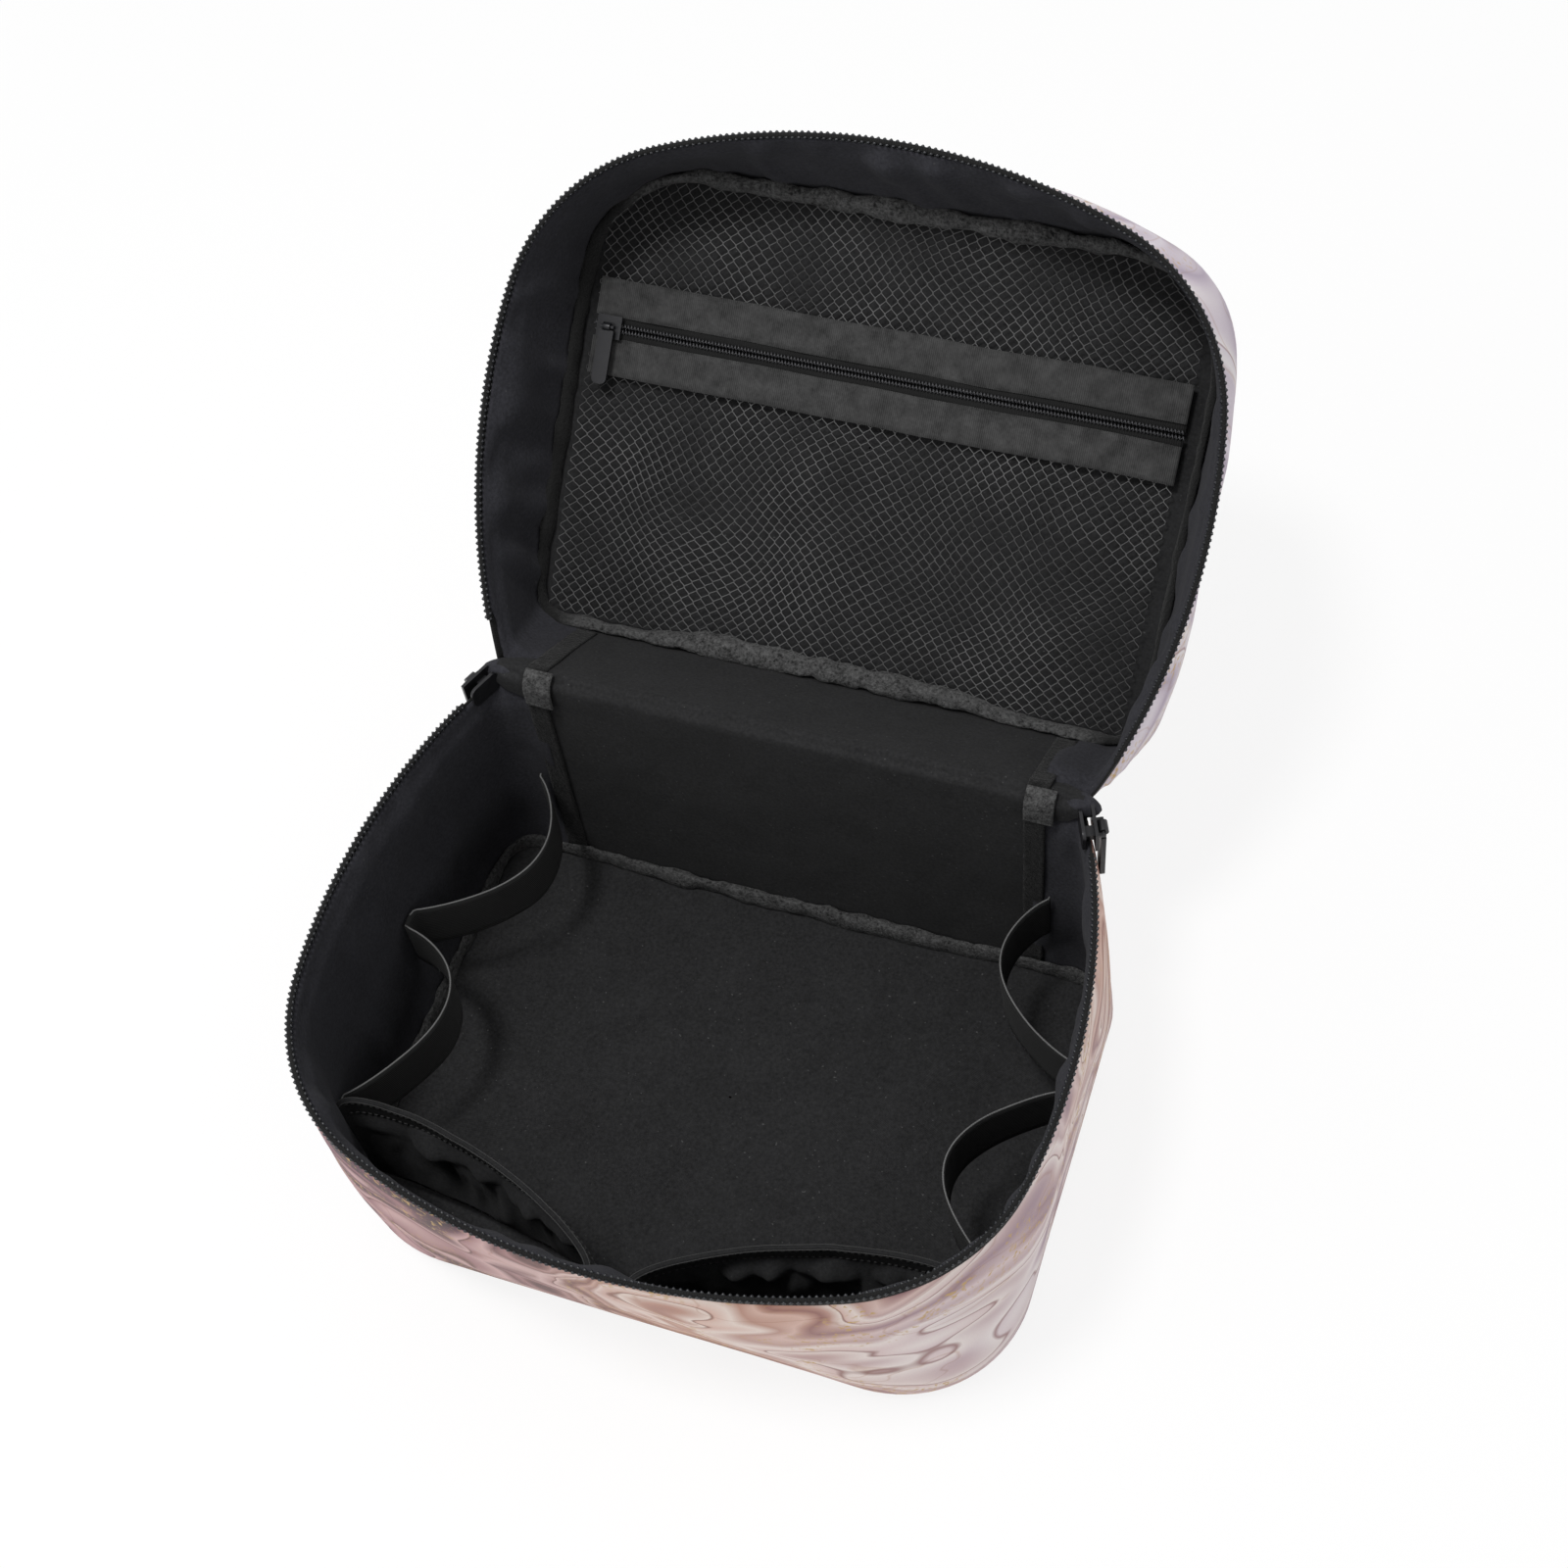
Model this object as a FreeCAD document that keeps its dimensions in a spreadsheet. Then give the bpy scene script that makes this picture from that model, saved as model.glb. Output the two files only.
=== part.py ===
"""Soft makeup train case: a padded zip-round box whose lid swings open on a sewn back fold.

The origin is the centre of the case's underside. +X is to the right, +Y to the back, where
the lid is hinged, and +Z is up. The lid is drawn closed and then swung open about the fold.
"""
import FreeCAD
import Part
import Sketcher
import math
import os

Vector = FreeCAD.Vector
Rotation = FreeCAD.Rotation
Placement = FreeCAD.Placement

# Driving sizes in millimetres and degrees
SIZES = {
    # Base box
    "case_width": 240.0,
    "case_depth": 168.0,
    "base_corner_radius": 42.0,
    "base_back_radius": 16.0,
    "rim_height": 110.0,
    # Mouth of the base and of the lid, a chain of tangent arcs
    "rim_half_width": 125.0,
    "rim_widest_forward": 6.0,
    "rim_front_reach": 108.0,
    "rim_side_radius": 222.0,
    "rim_corner_radius": 68.0,
    "rim_front_radius": 225.0,
    "hinge_back_reach": 87.0,
    # Lid
    "lid_depth": 52.0,
    "lid_panel_width": 232.0,
    "lid_panel_length": 170.0,
    "lid_back_draft": 11.0,
    "lid_corner_radius": 40.0,
    "lid_back_radius": 14.0,
    "open_angle": 138.0,
    # Wall layers
    "outer_thickness": 0.8,
    "foam_thickness": 3.0,
    "lining_thickness": 0.6,
    "layer_gap": 0.1,
    "panel_gap": 0.5,
    "board_thickness": 1.6,
    "back_panel_half_width": 88.0,
    # Back fold
    "fold_radius": 2.0,
    "fold_gap": 0.4,
    # Main zipper
    "outer_reveal": 4.8,
    "lining_reveal": 9.5,
    "foam_reveal": 9.5,
    "tape_height": 7.5,
    "tape_thickness": 0.9,
    "chain_end_gap": 16.0,
    "tooth_pitch": 2.1,
    "tooth_length": 0.75,
    "tooth_width": 2.2,
    "tooth_height": 2.6,
    "tooth_seat_gap": 0.2,
    # Main sliders and their pulls
    "slider_length": 12.0,
    "slider_width": 9.0,
    "slider_height": 5.2,
    "slider_plate": 1.1,
    "slider_corner": 2.4,
    "slider_neck_length": 4.0,
    "slider_neck_width": 2.4,
    "slider_from_fold": 8.0,
    "bail_length": 7.0,
    "bail_rise": 2.0,
    "bail_radius": 0.7,
    "bail_post": 1.2,
    "pull_eye_radius": 1.8,
    "pull_eye_length": 4.0,
    "pull_eye_gap": 0.15,
    "pull_length": 26.0,
    "pull_width": 7.0,
    "pull_thickness": 1.6,
    "pull_corner": 3.0,
    # Binding tape on the inner seams
    "binding_height": 8.0,
    "binding_thickness": 2.0,
    "seam_binding_width": 9.0,
    "seam_binding_thickness": 1.2,
    # Elastic loops on the side walls
    "loop_back_reach": 72.0,
    "loop_middle_reach": 10.0,
    "loop_front_reach": 50.0,
    "loop_bottom": 37.0,
    "loop_height": 23.0,
    "loop_bulge": 26.0,
    "loop_thickness": 1.2,
    "loop_stitch_half": 3.0,
    "loop_wall_gap": 0.3,
    # Gathered pockets on the front wall
    "pocket_inner_reach": 7.0,
    "pocket_outer_reach": 104.0,
    "pocket_top": 60.0,
    "pocket_bulge_top": 14.0,
    "pocket_bulge_bottom": 5.0,
    "pocket_thickness": 1.2,
    "hem_height": 9.0,
    "hem_thickness": 1.8,
    "hem_gap": 0.2,
    "pocket_wall_gap": 0.3,
    # Net pocket in the lid
    "net_stand_off": 3.0,
    "net_thickness": 0.8,
    "net_zip_from_fold": 120.0,
    "net_back_margin": 8.0,
    "net_front_margin": 12.0,
    "net_side_margin": 6.0,
    "net_seam_gap": 1.0,
    "net_cell_width": 16.0,
    "net_cell_length": 13.5,
    "net_strand": 2.0,
    "ribbon_width": 13.0,
    "ribbon_thickness": 0.7,
    "net_tape_width": 9.0,
    "net_tape_slot": 1.8,
    "net_tape_seat": 0.2,
    "net_coil_width": 1.8,
    "net_coil_height": 1.5,
    # Net pocket slider and pull
    "net_slider_length": 9.0,
    "net_slider_width": 8.0,
    "net_slider_height": 5.0,
    "net_slider_plate": 0.9,
    "net_slider_corner": 1.8,
    "net_slider_neck_length": 3.0,
    "net_slider_neck_width": 0.9,
    "net_slider_inset": 6.0,
    "net_bail_length": 5.0,
    "net_bail_rise": 1.6,
    "net_bail_radius": 0.6,
    "net_bail_post": 0.9,
    "net_pull_eye_radius": 1.5,
    "net_pull_eye_length": 2.6,
    "net_pull_length": 20.0,
    "net_pull_width": 5.5,
    "net_pull_thickness": 1.2,
    "net_pull_corner": 2.2,
    # Carrying handle on the lid
    "handle_width": 26.0,
    "handle_thickness": 3.0,
    "handle_span": 120.0,
    "handle_rise": 27.0,
    "handle_foot_length": 26.0,
    "handle_patch_thickness": 1.4,
    "handle_patch_margin": 4.0,
}

doc = FreeCAD.newDocument("train_case")
sheet = doc.addObject("Spreadsheet::Sheet", "Sizes")
for row, (alias, value) in enumerate(SIZES.items(), start=1):
    sheet.set(f"A{row}", alias)
    sheet.set(f"B{row}", str(value))
    sheet.setAlias(f"B{row}", alias)
doc.recompute()


def size(name):
    """One driving size, read from the sheet."""
    return float(sheet.get(name))


WALL = (size("outer_thickness") + size("foam_thickness") + size("lining_thickness")
        + 2 * size("layer_gap"))
FOAM_INSET = size("outer_thickness") + size("layer_gap")
LINING_INSET = FOAM_INSET + size("foam_thickness") + size("layer_gap")
FLOOR_INSET = WALL + size("layer_gap")
PANEL_INSET = WALL + size("panel_gap")
RIM_Z = size("rim_height")
HINGE_Y = size("hinge_back_reach")
HINGE = Vector(0, HINGE_Y, RIM_Z)
UP = Vector(0, 0, 1)
FAR = 4 * size("case_width")
QUARTER_TURN = 90
# Least upright share of the direction of an edge that counts as upright
LID_OPEN = Placement(Vector(), Rotation(Vector(1, 0, 0), -size("open_angle")), HINGE)

nodes = []


def keep(item, label):
    """Name a finished sub-part and put it on the list that is written out."""
    item.Label = label
    nodes.append(item)
    return item


def add_shape(label, shape, placement=Placement()):
    """A sub-part whose shape is lofted, swept or patterned by the functions below."""
    item = doc.addObject("Part::Feature", label)
    item.Shape = shape.removeSplitter()
    item.Placement = placement
    return keep(item, label)


def add_group(label, compound, placement=Placement()):
    """A sub-part that is a group of separate like solids."""
    item = doc.addObject("Part::Feature", label)
    item.Shape = compound
    item.Placement = placement
    return keep(item, label)


# Outlines


def line(start, end):
    return Part.LineSegment(start, end).toShape()


def arc(centre, radius, start, end):
    """Arc of a level circle between two angles in radians, in the order given."""
    def at(angle):
        return centre + Vector(radius * math.cos(angle), radius * math.sin(angle), 0)
    return Part.Arc(at(start), at((start + end) / 2), at(end)).toShape()


def is_upright(edge):
    along = edge.tangentAt(edge.FirstParameter)
    return abs(along.z) > abs(along.x) + abs(along.y)


def holed_face(outline, gaps):
    """Flat face with gaps cut through it."""
    return Part.makeFace([outline] + gaps, "Part::FaceMakerBullseye")


def rounded_outline(width, length, radius, back_radius, centre_y, inset, z):
    """Rectangle with rounded front and back corners, from its back edge round by the right side."""
    half_x = width / 2 - inset
    half_y = length / 2 - inset
    front_bend = radius - inset
    back_bend = back_radius - inset
    middle = Vector(0, centre_y, z)

    def corner(side, end, bend):
        return middle + Vector(side * (half_x - bend), end * (half_y - bend), 0)

    quarter = math.pi / 2
    turns = [arc(corner(1, 1, back_bend), back_bend, quarter, 0),
             arc(corner(1, -1, front_bend), front_bend, 0, -quarter),
             arc(corner(-1, -1, front_bend), front_bend, -quarter, -2 * quarter),
             arc(corner(-1, 1, back_bend), back_bend, 2 * quarter, quarter)]
    edges = []
    for turn, following in zip(turns, turns[1:] + turns[:1]):
        edges += [turn, line(turn.Vertexes[-1].Point, following.Vertexes[0].Point)]
    return Part.Wire(edges)


class Rim:
    """The mouth's outline: a straight back fold, then side, corner and front arcs."""

    side_centre = Vector(size("rim_half_width") - size("rim_side_radius"),
                         -size("rim_widest_forward"), 0)
    front_centre = Vector(0, size("rim_front_radius") - size("rim_front_reach"), 0)
    to_side = size("rim_side_radius") - size("rim_corner_radius")
    to_front = size("rim_front_radius") - size("rim_corner_radius")
    between = front_centre - side_centre
    along = (to_side ** 2 - to_front ** 2 + between.Length ** 2) / (2 * between.Length)
    across = math.sqrt(to_side ** 2 - along ** 2)
    aim = between / between.Length
    corner_centre = side_centre + aim * along + Vector(aim.y, -aim.x, 0) * across
    side_end = math.atan2(corner_centre.y - side_centre.y, corner_centre.x - side_centre.x)
    corner_end = math.atan2(corner_centre.y - front_centre.y, corner_centre.x - front_centre.x)
    fold_angle = math.asin((HINGE_Y - side_centre.y) / size("rim_side_radius"))

    @staticmethod
    def mirrored(centre):
        return Vector(-centre.x, centre.y, centre.z)

    @classmethod
    def arcs(cls, inset, start):
        """Right side, right corner, front, left corner and left side: centre, radius, angles."""
        side = size("rim_side_radius") - inset
        corner = size("rim_corner_radius") - inset
        front = size("rim_front_radius") - inset
        turn = math.pi
        return [
            (cls.side_centre, side, start, cls.side_end),
            (cls.corner_centre, corner, cls.side_end, cls.corner_end),
            (cls.front_centre, front, cls.corner_end, -turn - cls.corner_end),
            (cls.mirrored(cls.corner_centre), corner, -turn - cls.corner_end, -turn - cls.side_end),
            (cls.mirrored(cls.side_centre), side, -turn - cls.side_end, -turn - start),
        ]

    @classmethod
    def right_turns(cls, inset):
        """Arcs of the right half, from the back fold to the middle of the front."""
        side = size("rim_side_radius") - inset
        fold = math.asin((HINGE_Y - inset - cls.side_centre.y) / side)
        return [
            (cls.side_centre, side, fold, 0.0),
            (cls.side_centre, side, 0.0, cls.side_end),
            (cls.corner_centre, size("rim_corner_radius") - inset, cls.side_end, cls.corner_end),
            (cls.front_centre, size("rim_front_radius") - inset, cls.corner_end, -math.pi / 2),
        ]

    @classmethod
    def chain_start(cls):
        """Angle on the side arc where the zipper teeth begin, clear of the sliders."""
        return cls.fold_angle - size("chain_end_gap") / size("rim_side_radius")

    @classmethod
    def chain_start_y(cls):
        return cls.side_centre.y + size("rim_side_radius") * math.sin(cls.chain_start())


LID_BACK_Y = HINGE_Y - size("lid_back_draft")
LID_MIDDLE_Y = LID_BACK_Y - size("lid_panel_length") / 2
LID_TOP_Z = RIM_Z + size("lid_depth")


def lid_outline(inset, z):
    return rounded_outline(size("lid_panel_width"), size("lid_panel_length"), size("lid_corner_radius"),
                           size("lid_back_radius"), LID_MIDDLE_Y, inset, z)


# Padded walls


def flat_face(*points):
    return Part.Face(Part.makePolygon(list(points) + [points[0]]))


def mirrored_too(shapes):
    return shapes + [shape.mirror(Vector(), Vector(1, 0, 0)) for shape in shapes]


def cap(edges):
    return Part.Face(Part.Wire(Part.__sortEdges__(edges)))


def core(width, length, radius, back_radius, middle_y, panel_z, inset):
    """Solid between the mouth and a rounded panel, with the walls that a flat band takes.

    Points of the two outlines that face the same way are joined by straight lines, so the
    walls are flat or parts of slanted cones, except beside the fold.
    """
    bend = radius - inset
    back_bend = back_radius - inset
    back_corner = Vector(width / 2 - back_radius, middle_y + length / 2 - back_radius, panel_z)
    front_corner = Vector(width / 2 - radius, middle_y - length / 2 + radius, panel_z)
    turns = [(centre + UP * RIM_Z, reach, first, last)
             for centre, reach, first, last in Rim.right_turns(inset)]

    def rim_spot(turn, angle):
        centre, reach = turn[:2]
        return centre + Vector(math.cos(angle), math.sin(angle), 0) * reach

    fold = turns[0][2]
    hinge_end = rim_spot(turns[0], fold)
    widest = rim_spot(turns[0], 0.0)
    foremost = rim_spot(turns[-1], -math.pi / 2)
    elbow = hinge_end - Vector(back_radius / 2, 0, 0)
    panel_edges = [arc(back_corner, back_bend, math.pi / 2, fold)]
    rim_edges = [line(elbow, hinge_end)]
    walls = [Part.makeRuledSurface(panel_edges[0], rim_edges[0])]
    corners = [(back_corner, back_bend)] + 3 * [(front_corner, bend)]
    for (corner, corner_bend), (centre, reach, first, last) in zip(corners, turns):
        panel_edges.append(arc(corner, corner_bend, first, last))
        rim_edges.append(arc(centre, reach, first, last))
        walls.append(Part.makeRuledSurface(panel_edges[-1], rim_edges[-1]))
    side_back = back_corner + Vector(back_bend, 0, 0)
    side_front = front_corner + Vector(bend, 0, 0)
    walls.append(flat_face(side_back, side_front, widest))
    panel_edges.append(line(side_back, side_front))
    walls = mirrored_too(walls)
    panel_edges = mirrored_too(panel_edges)
    rim_edges = mirrored_too(rim_edges)
    back = back_corner + Vector(0, back_bend, 0)
    front = front_corner - Vector(0, bend, 0)
    walls.append(flat_face(back, Rim.mirrored(back), Rim.mirrored(elbow), elbow))
    walls.append(flat_face(front, Rim.mirrored(front), foremost))
    panel_edges += [line(Rim.mirrored(back), back), line(Rim.mirrored(front), front)]
    rim_edges.append(line(Rim.mirrored(elbow), elbow))
    shell = Part.makeShell(walls + [cap(panel_edges), cap(rim_edges)])
    shell.sewShape()
    solid = Part.makeSolid(shell)
    if solid.Volume < 0:
        solid.reverse()
    return solid


def base_core(inset):
    return core(size("case_width"), size("case_depth"), size("base_corner_radius"),
                size("base_back_radius"), 0.0, 0.0, inset)


def lid_core(inset):
    return core(size("lid_panel_width"), size("lid_panel_length"), size("lid_corner_radius"),
                size("lid_back_radius"), LID_MIDDLE_Y, LID_TOP_Z, inset)


def slab(z_low, z_high, half_width=FAR, y_low=-FAR, y_high=FAR):
    corner = Vector(-half_width, y_low, z_low)
    return Part.makeBox(2 * half_width, y_high - y_low, z_high - z_low, corner)


def layer(core, inset, thickness, z_low, z_high):
    """One layer of wall: the space between two insets of a core, cut to height."""
    return core(inset).cut(core(inset + thickness)).common(slab(z_low, z_high))


def back_part(shell, half_width, z_low, z_high):
    """The stretch of a wall layer between the two upright back seams."""
    return shell.common(slab(z_low, z_high, half_width, 0.0, FAR))


def front_part(shell, half_width):
    """The rest of a wall layer: front, sides and rounded back corners."""
    return shell.cut(slab(-FAR, FAR, half_width, 0.0, FAR))


FOLD_CLEAR = size("fold_radius") + size("fold_gap")
SEAM_HALF = size("back_panel_half_width")
FLOOR_STACK = size("outer_thickness") + size("layer_gap")

WALL_LAYERS = (
    ("outer", 0.0, "outer_thickness", "outer_reveal"),
    ("foam", FOAM_INSET, "foam_thickness", "foam_reveal"),
    ("lining", LINING_INSET, "lining_thickness", "lining_reveal"),
)


def make_base_walls():
    for name, inset, thickness, reveal in WALL_LAYERS:
        z_low = 0.0 if name == "outer" else FLOOR_STACK
        shell = layer(base_core, inset, size(thickness), z_low, RIM_Z - FOLD_CLEAR)
        band = front_part(shell, SEAM_HALF + size("layer_gap"))
        add_shape(f"base_band_{name}", band.common(slab(z_low, RIM_Z - size(reveal))))
        add_shape(f"base_back_{name}", back_part(shell, SEAM_HALF, z_low, RIM_Z - FOLD_CLEAR))


def make_lid_walls():
    for name, inset, thickness, reveal in WALL_LAYERS:
        z_high = LID_TOP_Z if name == "outer" else LID_TOP_Z - FLOOR_STACK
        shell = layer(lid_core, inset, size(thickness), RIM_Z + FOLD_CLEAR, z_high)
        band = front_part(shell, SEAM_HALF + size("layer_gap"))
        add_shape(f"lid_band_{name}", band.common(slab(RIM_Z + size(reveal), z_high)), LID_OPEN)
        add_shape(f"lid_back_{name}", back_part(shell, SEAM_HALF, RIM_Z + FOLD_CLEAR, z_high), LID_OPEN)


# Flat panels, each a padded sketch with rounded corners


def origin_plane(body, role):
    return next(item for item in body.Origin.OriginFeatures if item.Role == role)


def flat_sketch(body, name, lift="0"):
    """Empty sketch on the body's level plane, lifted by an expression."""
    sketch = body.newObject("Sketcher::SketchObject", name)
    sketch.AttachmentSupport = [(origin_plane(body, "XY_Plane"), "")]
    sketch.MapMode = "FlatFace"
    sketch.setExpression("AttachmentOffset.Base.z", lift)
    return sketch


def bind(sketch, constraint, name, expression):
    index = sketch.addConstraint(constraint)
    sketch.renameConstraint(index, name)
    sketch.setExpression(f"Constraints.{name}", expression)


def add_rectangle(sketch, width, length, left="0", low="0", centred=True):
    """Rectangle with its width and length tied to expressions, centred or from a corner."""
    start = sketch.GeometryCount
    points = [Vector(-1, -1, 0), Vector(1, -1, 0), Vector(1, 1, 0), Vector(-1, 1, 0)]
    seed = (points[1] - points[0]).Length
    for here, there in zip(points, points[1:] + points[:1]):
        sketch.addGeometry(Part.LineSegment(here, there))
    bottom, right, top, side = range(start, start + len(points))
    for one, other in ((bottom, right), (right, top), (top, side), (side, bottom)):
        sketch.addConstraint(Sketcher.Constraint("Coincident", one, 2, other, 1))
    for level in (bottom, top):
        sketch.addConstraint(Sketcher.Constraint("Horizontal", level))
    for upright in (right, side):
        sketch.addConstraint(Sketcher.Constraint("Vertical", upright))
    bind(sketch, Sketcher.Constraint("DistanceX", bottom, 1, bottom, 2, seed), f"wide{start}", width)
    bind(sketch, Sketcher.Constraint("DistanceY", right, 1, right, 2, seed), f"long{start}", length)
    if centred:
        sketch.addConstraint(Sketcher.Constraint("Symmetric", bottom, 1, top, 1, -1, 1))
    else:
        bind(sketch, Sketcher.Constraint("DistanceX", -1, 1, bottom, 1, 1.0), f"left{start}", left)
        bind(sketch, Sketcher.Constraint("DistanceY", -1, 1, bottom, 1, 1.0), f"low{start}", low)


def add_pad(body, sketch, thickness):
    pad = body.newObject("PartDesign::Pad", f"{sketch.Name}_pad")
    pad.Profile = sketch
    pad.setExpression("Length", thickness)
    sketch.Visibility = False
    return pad


def round_corners(body, feature, radius, way=0):
    """Round the upright edges of the last feature: all of them, or those at the back or the front."""
    doc.recompute()
    upright = [f"Edge{i}" for i, edge in enumerate(feature.Shape.Edges, start=1)
               if is_upright(edge) and way * edge.CenterOfMass.y >= 0]
    fillet = body.newObject("PartDesign::Fillet", f"{feature.Name}_round")
    fillet.Base = (feature, upright)
    fillet.setExpression("Radius", radius)
    return fillet


def make_panel(label, width, length, radius, back_radius, thickness, local, swing=Placement()):
    """Rounded panel lying level at a place, then swung with the body that it belongs to."""
    body = doc.addObject("PartDesign::Body", label)
    sketch = flat_sketch(body, f"{label}_outline")
    add_rectangle(sketch, width, length)
    pad = add_pad(body, sketch, thickness)
    front = round_corners(body, pad, radius, -1)
    round_corners(body, front, back_radius, 1)
    body.Placement = swing.multiply(Placement(local, Rotation()))
    return keep(body, label)


def inset_terms(width, length, radius, back_radius, inset):
    """Expressions for a rounded rectangle drawn in by an inset."""
    return (f"Sizes.{width} - 2 * ({inset})", f"Sizes.{length} - 2 * ({inset})",
            f"Sizes.{radius} - ({inset})", f"Sizes.{back_radius} - ({inset})")


SKIN_INSET = "Sizes.outer_thickness + Sizes.layer_gap"
CORE_INSET = ("Sizes.outer_thickness + Sizes.foam_thickness + Sizes.lining_thickness"
              " + 2 * Sizes.layer_gap + Sizes.panel_gap")


def make_floor():
    skin = inset_terms("case_width", "case_depth", "base_corner_radius", "base_back_radius",
                       SKIN_INSET)
    inner = inset_terms("case_width", "case_depth", "base_corner_radius", "base_back_radius",
                       CORE_INSET)
    z = 0.0
    make_panel("base_bottom_outer", *skin, "Sizes.outer_thickness", Vector(0, 0, z))
    z += size("outer_thickness") + size("layer_gap")
    make_panel("base_bottom_board", *inner, "Sizes.board_thickness", Vector(0, 0, z))
    z += size("board_thickness") + size("layer_gap")
    make_panel("floor_foam", *inner, "Sizes.foam_thickness", Vector(0, 0, z))
    z += size("foam_thickness") + size("layer_gap")
    make_panel("floor_lining", *inner, "Sizes.lining_thickness", Vector(0, 0, z))
    return z + size("lining_thickness")


def make_lid_panels():
    skin = inset_terms("lid_panel_width", "lid_panel_length", "lid_corner_radius", "lid_back_radius",
                       SKIN_INSET)
    inner = inset_terms("lid_panel_width", "lid_panel_length", "lid_corner_radius", "lid_back_radius",
                       CORE_INSET)
    z = LID_TOP_Z - size("outer_thickness")
    make_panel("lid_top_outer", *skin, "Sizes.outer_thickness", Vector(0, LID_MIDDLE_Y, z), LID_OPEN)
    z -= size("layer_gap") + size("foam_thickness")
    make_panel("lid_top_foam", *inner, "Sizes.foam_thickness", Vector(0, LID_MIDDLE_Y, z), LID_OPEN)
    z -= size("layer_gap") + size("lining_thickness")
    make_panel("lid_top_lining", *inner, "Sizes.lining_thickness", Vector(0, LID_MIDDLE_Y, z), LID_OPEN)
    return z


# Binding tape over the raw seams inside


def make_bindings(floor_top, lid_under):
    """Tape round the floor and lid seams, and upright tape on the two back seams."""
    height = size("binding_height")
    thickness = size("binding_thickness")
    depth = size("seam_binding_thickness")
    floor_z = floor_top + size("layer_gap")
    lid_z = lid_under - size("layer_gap") - height
    floor_tape = layer(base_core, FLOOR_INSET, thickness, floor_z, floor_z + height)
    lid_tape = layer(lid_core, FLOOR_INSET, thickness, lid_z, lid_z + height)
    add_shape("floor_binding", floor_tape)
    add_shape("lid_panel_binding", lid_tape, LID_OPEN)
    low = floor_z + height + size("layer_gap")
    upright = layer(base_core, FLOOR_INSET, depth, low, RIM_Z - FOLD_CLEAR)
    high = lid_z - size("layer_gap")
    lid_upright = layer(lid_core, FLOOR_INSET, depth, RIM_Z + FOLD_CLEAR, high)
    for side, sign in (("left", -1), ("right", 1)):
        start = Vector(sign * SEAM_HALF - size("seam_binding_width") / 2, 0, 0)
        stretch = Part.makeBox(size("seam_binding_width"), FAR, FAR, start)
        add_shape(f"base_seam_binding_{side}", upright.common(stretch))
        add_shape(f"lid_seam_binding_{side}", lid_upright.common(stretch), LID_OPEN)


def make_fold():
    """Rolled fabric of the back fold, round the axis that the lid swings on."""
    roll = doc.addObject("Part::Cylinder", "hinge_fold")
    roll.setExpression("Radius", "Sizes.fold_radius")
    roll.setExpression("Height", "2 * Sizes.back_panel_half_width")
    roll.Placement = Placement(Vector(-SEAM_HALF, HINGE_Y, RIM_Z), Rotation(Vector(0, 1, 0), QUARTER_TURN))
    keep(roll, "hinge_fold")


# Main zipper

TAPE_INSET = FOAM_INSET
TAPE_MIDDLE = TAPE_INSET + size("tape_thickness") / 2
TAPE_GAP = size("tooth_height") / 2 + size("tooth_seat_gap")
# Where each row of teeth begins, in pitches: half a pitch apart, so that the rows mesh
BASE_TEETH_START = 0.5
LID_TEETH_START = 1.0


def chain_places(offset):
    """Places of the teeth along the chain: a tooth stands at each pitch from an offset."""
    spans = Rim.arcs(TAPE_MIDDLE, Rim.chain_start())
    lengths = [radius * abs(last - first) for centre, radius, first, last in spans]
    total = sum(lengths)
    count = int(total / size("tooth_pitch")) - 1
    for index in range(count):
        run = (index + offset) * size("tooth_pitch")
        for (centre, radius, first, last), length in zip(spans, lengths):
            if run <= length:
                angle = first + (last - first) * run / length
                spot = centre + Vector(math.cos(angle), math.sin(angle), 0) * radius
                yield spot, angle
                break
            run -= length


def teeth(offset):
    """Row of separate teeth astride the rim plane, so that two rows offset by half mesh."""
    long = size("tooth_length")
    wide = size("tooth_width")
    tall = size("tooth_height")
    rows = []
    for spot, angle in chain_places(offset):
        tooth = Part.makeBox(wide, long, tall, Vector(-wide / 2, -long / 2, -tall / 2))
        turn = Rotation(UP, math.degrees(angle))
        tooth.Placement = Placement(spot + UP * RIM_Z, turn)
        rows.append(tooth)
    return Part.Compound(rows)


def make_zipper():
    tall = size("tape_height")
    thick = size("tape_thickness")
    low = RIM_Z - TAPE_GAP - tall
    high = RIM_Z + TAPE_GAP
    past_chain = slab(-FAR, FAR, FAR, Rim.chain_start_y(), FAR)
    base_tape = layer(base_core, TAPE_INSET, thick, low, low + tall)
    lid_tape = layer(lid_core, TAPE_INSET, thick, high, high + tall)
    add_shape("base_zipper_tape", base_tape.cut(past_chain))
    add_shape("lid_zipper_tape", lid_tape.cut(past_chain), LID_OPEN)
    add_group("base_zipper_teeth", teeth(BASE_TEETH_START))
    add_group("lid_zipper_teeth", teeth(LID_TEETH_START), LID_OPEN)


# Sliders: two plates on a neck, with a bail that the pull turns on


def add_bar(body, name, radius, length, x, z):
    """Round bar along the slider, as a feature of a body."""
    bar = body.newObject("PartDesign::AdditiveCylinder", name)
    bar.setExpression("Radius", radius)
    bar.setExpression("Height", length)
    bar.AttachmentSupport = [(origin_plane(body, "YZ_Plane"), "")]
    bar.MapMode = "FlatFace"
    bar.setExpression("AttachmentOffset.Base.y", z)
    bar.setExpression("AttachmentOffset.Base.z", x)
    return bar


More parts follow.
